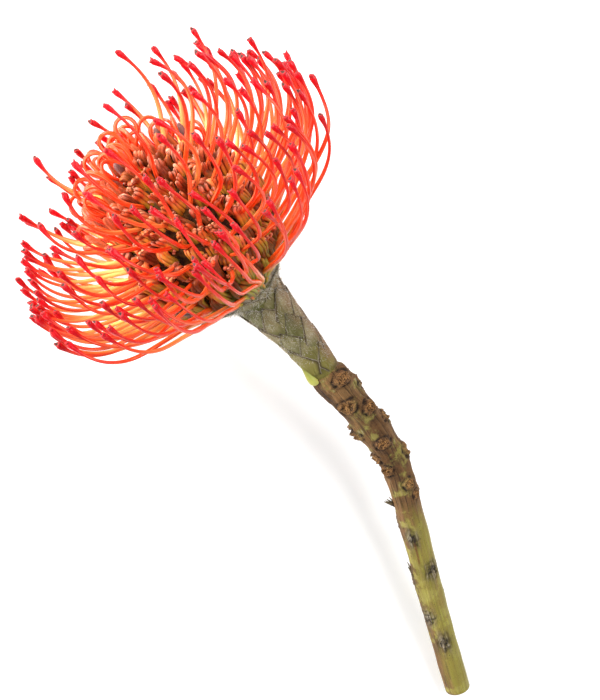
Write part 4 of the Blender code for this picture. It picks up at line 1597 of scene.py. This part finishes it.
def stubMaterial():
    return skinMaterial("leafStub", 0.3, ((0.0, 0.07, 0.045, 0.022), (0.5, 0.035, 0.026, 0.02),
                                          (0.8, 0.16, 0.12, 0.05), (1.0, 0.03, 0.025, 0.02)),
                        700.0, (0.4, 0.65), 0.4, (0.2, 0.15, 0.09), (0.1, 0.7), (0.6, 0.0003),
                        "tint")


def leafFootMaterial():
    return skinMaterial("leafFoot", 0.4, ((0.0, 0.20, 0.22, 0.06), (0.55, 0.38, 0.40, 0.07),
                                          (1.0, 0.55, 0.53, 0.13)),
                        420.0, (0.45, 0.7), 0.4, (0.42, 0.30, 0.07), (0.1, 0.45), (0.3, 0.0002))


def stigmaMaterial():
    return skinMaterial("stigma", 0.25, ((0.0, 0.58, 0.004, 0.014), (0.45, 0.60, 0.012, 0.022),
                                         (0.62, 0.40, 0.02, 0.02), (0.78, 0.05, 0.02, 0.012)),
                        1200.0, (0.5, 0.6), 0.5, (0.10, 0.03, 0.014), (0.2, 0.35), (0.4, 0.0002))


styleColors = {
    "near": ((0.0, 0.36, 0.27, 0.03), (0.10, 0.78, 0.24, 0.02), (0.24, 0.88, 0.13, 0.014),
             (0.5, 0.86, 0.062, 0.010), (0.75, 0.76, 0.032, 0.010), (1.0, 0.62, 0.012, 0.018)),
    # far: painted backlight glow, paler and yellower along the style than its own colour in near
    "far": ((0.0, 0.62, 0.52, 0.08), (0.18, 0.97, 0.70, 0.19), (0.5, 0.98, 0.54, 0.13),
            (0.74, 0.94, 0.20, 0.045), (0.9, 0.80, 0.045, 0.02), (1.0, 0.60, 0.01, 0.02)),
    "lowBase": (0.42, 0.42, 0.045),
    "club": (0.60, 0.003, 0.010),
    "clubPale": (0.84, 0.06, 0.055),
    # paintedGleam: painted highlight along each style's pale streaks
    "paintedGleam": (0.97, 0.38, 0.20),
    "deep": (0.46, 0.008, 0.005),
    "end": (0.30, 0.03, 0.03),
}


def styleMaterial():
    nodes = Skin("styleSkin", 0.25, Weight=0.1, Scale=0.001, Radius=(1.0, 0.35, 0.12))
    along, tint, shade, low, club, roundX, roundY = nodes.readAll(
        "along tint shade low club roundX roundY")
    # Painted backlight: each style mixes from its own colour towards the painted glow by its shade share
    # and a random tint
    share = nodes.between(nodes.timesPlus(tint, 0.5, shade), 0.1, 0.95)
    color = nodes.mix(share, *(nodes.ramp(along, styleColors[key]) for key in ("near", "far")))
    color = nodes.coat(color, nodes.between(low, 0.72, 0.98), nodes.between(along, 0.34, 0.12),
                       styleColors["lowBase"])
    streaks = nodes.use(fibres, along=along, roundX=roundX, roundY=roundY, count=1.7, stretch=5.0,
                        offset=nodes.times(tint, 40.0))["fibres"]
    # painted highlight along the styles' pale streaks
    color = nodes.coat(color, nodes.between(streaks, 0.6, 1.0), 0.42, styleColors["paintedGleam"])
    color = nodes.coat(color, nodes.between(streaks, 0.38, 0.0), 0.6, styleColors["deep"])
    blotches, grain = nodes.use(mottle, size=900.0, low=0.5, high=0.7).values()
    clubColor = nodes.coat(styleColors["club"], blotches, 0.35, styleColors["clubPale"])
    color = nodes.mix(club, color, clubColor)
    color = nodes.mix(nodes.between(along, 0.988, 1.0), color, styleColors["end"])
    return nodes.finish(color, nodes.timesPlus(club, -0.06, 0.26),
                        nodes.plus(streaks, nodes.times(grain, club)), 0.35, 0.00015)


def floretMaterial():
    nodes = Skin("floretSkin", 0.32, Weight=0.06, Scale=0.0008, Radius=(1.0, 0.4, 0.15))
    along, rim, tint, low, shade = nodes.readAll("along rim tint low shade")
    clawX, clawY, faceX, faceY = nodes.readAll("clawX clawY faceX faceY")
    facing = nodes.timesPlus(clawX, faceX, nodes.times(clawY, faceY))
    rib = nodes.between(nodes.math("ABSOLUTE", facing), 0.25, 0.85)
    # along each claw: its own olive, orange and salmon; the near black at the foot is painted shade deep
    # among the florets, and the pale tip is partly painted highlight
    color = nodes.ramp(nodes.plus(along, nodes.timesPlus(tint, 0.3, -0.15)),
                       ((0.0, 0.018, 0.013, 0.002), (0.34, 0.10, 0.085, 0.005),
                        (0.54, 0.32, 0.21, 0.012), (0.70, 0.58, 0.19, 0.018),
                        (0.81, 0.52, 0.075, 0.018), (0.9, 0.76, 0.15, 0.04),
                        (1.0, 0.93, 0.40, 0.25)))
    # painted backlight: claws on the side away from the view painted paler orange towards their ends
    paintedBacklight = nodes.between(shade, 0.4, 0.95, 0.0, 0.4)
    color = nodes.coat(color, paintedBacklight, along, (0.90, 0.34, 0.06))
    lowShare = nodes.times(nodes.between(low, 0.72, 1.0), nodes.between(along, 0.95, 0.5))
    color = nodes.coat(color, lowShare, 0.75, (0.30, 0.29, 0.03))
    # painted shade along the sides of each claw, where it meets its neighbours
    color = nodes.coat(color, nodes.math("SUBTRACT", 1.0, rib), 0.8, (0.12, 0.012, 0.004))
    # painted shade inside each fold's hollow, on the claws' inner sides
    color = nodes.coat(color, nodes.between(facing, -0.1, -0.75),
                       nodes.between(along, 1.0, 0.75, 0.25, 0.85), (0.09, 0.012, 0.005))
    blotches, grain = nodes.use(mottle, size=520.0, low=0.45, high=0.65).values()
    color = nodes.coat(color, blotches, 0.3, (0.50, 0.08, 0.015))
    down, height = nodes.use(downyBloom, size=3800.0, cover=0.5).values()
    color = nodes.coat(color, down, nodes.times(rim, 0.3), (0.88, 0.55, 0.42))
    return nodes.finish(color, nodes.timesPlus(rib, -0.12, 0.55),
                        nodes.plus(height, nodes.times(grain, 0.6)), 0.35, 0.0002)


def budMaterial():
    nodes = Skin("shutFloretSkin", 0.25)
    along, rib, rim, tint = nodes.readAll("along rib rim tint")
    color = nodes.ramp(along, ((0.0, 0.14, 0.11, 0.012), (0.5, 0.55, 0.18, 0.02),
                               (0.78, 0.74, 0.16, 0.035), (1.0, 0.62, 0.10, 0.035)))
    # painted shade in the grooves between the ribs
    color = nodes.coat(color, nodes.math("SUBTRACT", 1.0, rib), 0.7, (0.24, 0.045, 0.008))
    down, height = nodes.use(downyBloom, size=3000.0, cover=0.7).values()
    downy = nodes.times(rim, nodes.between(tint, 0.78, 0.84))
    color = nodes.coat(color, downy, 0.8, (0.14, 0.10, 0.10))
    color = nodes.coat(color, down, nodes.times(downy, 0.5), (0.45, 0.37, 0.36))
    color = nodes.coat(color, down, nodes.times(rim, 0.25), (0.85, 0.50, 0.38))
    return nodes.finish(color, nodes.timesPlus(rim, 0.2, 0.6), height, 0.6, 0.0003)


def bedMaterial():
    nodes = Skin("floretBed", 0.2)
    blotches, grain = nodes.use(mottle, size=420.0, low=0.4, high=0.6).values()
    # near black: the receptacle's own dark brown deepened into painted shade between the florets' feet;
    # olive towards its foot
    color = nodes.mix(blotches, (0.02, 0.005, 0.002), (0.07, 0.03, 0.004))
    color = nodes.mix(nodes.between(nodes.read("low"), 0.76, 1.0, 0.0, 0.85), color,
                      (0.24, 0.24, 0.035))
    return nodes.finish(color, nodes.timesPlus(blotches, 0.1, 0.8), grain, 0.8, 0.0006)


def hairMaterial(name, dark, light):
    nodes = Skin(name, 0.4)
    blotches, grain = nodes.use(mottle, size=300.0).values()
    return nodes.finish(nodes.mix(blotches, dark, light),
                        nodes.timesPlus(blotches, 0.15, 0.45), grain, 0.1, 0.0001)


# The florets, sorted into open ones and those that still hold their style
allFlorets = [floretFacts(index, angle) for index, angle in enumerate(domeAngles(dome["florets"]))]
openFlorets = [facts for facts in allFlorets if not facts["hooped"]]
hoopedFlorets = [facts for facts in allFlorets if facts["hooped"]]
# More young styles between them, on the side that shows their florets
for index, angle in enumerate(domeAngles(dome["florets"], offset=7.0)):
    facts = floretFacts(index + 20000, angle)
    facts["turn"] = index * goldenAngle + math.radians(-2)
    held = random.Random(facts["index"]).random() < 0.5
    if angle < math.radians(66) and awaySide(facts["turn"]) > -0.15 and held:
        hoopedFlorets.append(facts)

barkPiece = buildStem(stemBarkMaterial(), cutWoodMaterial())
stubPiece = buildStubs(stubMaterial())
print("stem made")

bractSkin = bractMaterial()
neckPiece = buildNeckSkin(bractSkin)
bractPiece = buildNeckBracts(bractSkin)
collarPiece = buildCollar(bractSkin)
leafFootPiece = buildLeafFoot(leafFootMaterial())
print("neck and collar made")

styleSkin, floretSkin = styleMaterial(), floretMaterial()
stylePiece, stigmaPiece = buildStyles(styleSkin, stigmaMaterial())
hoopPiece = buildHoops(styleSkin)
print("styles made:", len(openFlorets), "open,", len(hoopedFlorets), "in hoops")

clawPiece = buildClaws(floretSkin)
budPiece = buildBuds(budMaterial())
hookPiece = buildHooks(floretSkin)
bedPiece = buildCore(bedMaterial())
print("florets made")

paleHair = hairMaterial("paleHair", (0.62, 0.56, 0.45), (0.80, 0.77, 0.70))
tanHair = hairMaterial("tanHair", (0.07, 0.04, 0.012), (0.24, 0.15, 0.06))
bedHairPiece = growHairs("bedHairs", bedPiece, tanHair, None, 3)
collarHairPiece = growHairs("collarHairs", collarPiece, paleHair, collarBorders, 4)
neckHairPiece = growHairs("neckHairs", bractPiece, paleHair, bractEnds, 9)
print("hairs made")

for pieces, node in (((barkPiece, stubPiece), "woody_stem"),
                     ((neckPiece, bractPiece, collarPiece, leafFootPiece, collarHairPiece,
                       neckHairPiece), "bract_neck"),
                     ((stylePiece, stigmaPiece, hoopPiece, clawPiece, budPiece, hookPiece,
                       bedPiece, bedHairPiece), "flower_head")):
    for piece in pieces:
        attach(piece, "root")
        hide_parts(node)
        print(piece.name, "triangles:", sum(len(f.vertices) - 2 for f in piece.data.polygons))


# Floor, light and camera

studio = {
    "floorSize": 6.0,
    "floorColor": (0.9, 0.9, 0.9),
    "floorGlow": 0.25,
    "sky": (1.0, 1.0, 1.0),
    "skyStrength": 0.45,
    "lampSize": 0.4,
    "lampDistance": 0.75,
}
# Each light's power, and how far to the picture's right, up and back it stands
lights = {
    "keyLight": (11.5, -0.75, 0.75, 0.8),
    "fillLight": (4.6, 0.9, 0.1, 0.9),
    "edgeLight": (6.0, -1.0, -0.25, 0.35),
}
# The camera in millimetres, before the flower is centred, and the picture's own directions
view = {
    "place": (176.32, 55.16, 674.95),
    "right": (-0.44473, -0.8686, 0.21851),
    "up": (0.84521, -0.48772, -0.21851),
    "back": (0.29637, 0.08751, 0.95106),
    "lens": 104.49,
}


def buildFloor():
    half = studio["floorSize"] / 2
    nodes = Skin("paleFloor", 0.1)
    blotches, grain = nodes.use(mottle, size=60.0).values()
    low = tuple(0.985 * c for c in studio["floorColor"])
    color = nodes.mix(blotches, low, studio["floorColor"])
    rough = nodes.timesPlus(blotches, 0.05, 0.85)
    material = nodes.finish(color, rough, grain, 0.02, 0.0001)
    nodes.feed(nodes.shader.inputs["Emission Color"], color)
    nodes.feed(nodes.shader.inputs["Emission Strength"], studio["floorGlow"])
    corners = [(-half, -half, 0), (half, -half, 0), (half, half, 0), (-half, half, 0)]
    floor = addPiece(makeMesh("floor", corners, [(0, 1, 2, 3)], None, material, closed=False))


def buildStudio():
    middle = head.place(20 * mm, 30 * mm, 0.0, 0.0)
    for name, (power, *shares) in lights.items():
        lamp = bpy.data.lights.new(name, "AREA")
        lamp.shape, lamp.size, lamp.energy = "DISK", studio["lampSize"], power
        item = bpy.data.objects.new(name, lamp)
        way = unit(sum(share * np.array(view[key])
                       for share, key in zip(shares, ("right", "up", "back"))))
        item.location = Vector(middle + way * studio["lampDistance"])
        item.rotation_euler = Vector(way).to_track_quat("Z", "Y").to_euler()
        bpy.context.scene.collection.objects.link(item)
    world = bpy.data.worlds.new("paleStudio")
    world.use_nodes = True
    sky = world.node_tree.nodes["Background"]
    sky.inputs["Color"].default_value = (*studio["sky"], 1.0)
    sky.inputs["Strength"].default_value = studio["skyStrength"]
    bpy.context.scene.world = world
    bpy.context.scene.view_settings.view_transform = "Standard"


def buildCamera():
    lens = bpy.data.cameras.new("photoView")
    lens.lens = view["lens"]
    lens.clip_start = 0.01
    camera = bpy.data.objects.new("photoView", lens)
    columns = Matrix((view["right"], view["up"], view["back"])).transposed()
    place = (np.array(view["place"]) - np.array(lying["middle"])) * mm
    camera.matrix_world = Matrix.Translation(Vector(place)) @ columns.to_4x4()
    bpy.context.scene.collection.objects.link(camera)
    bpy.context.scene.camera = camera


buildFloor()
buildStudio()
buildCamera()
print("studio made")
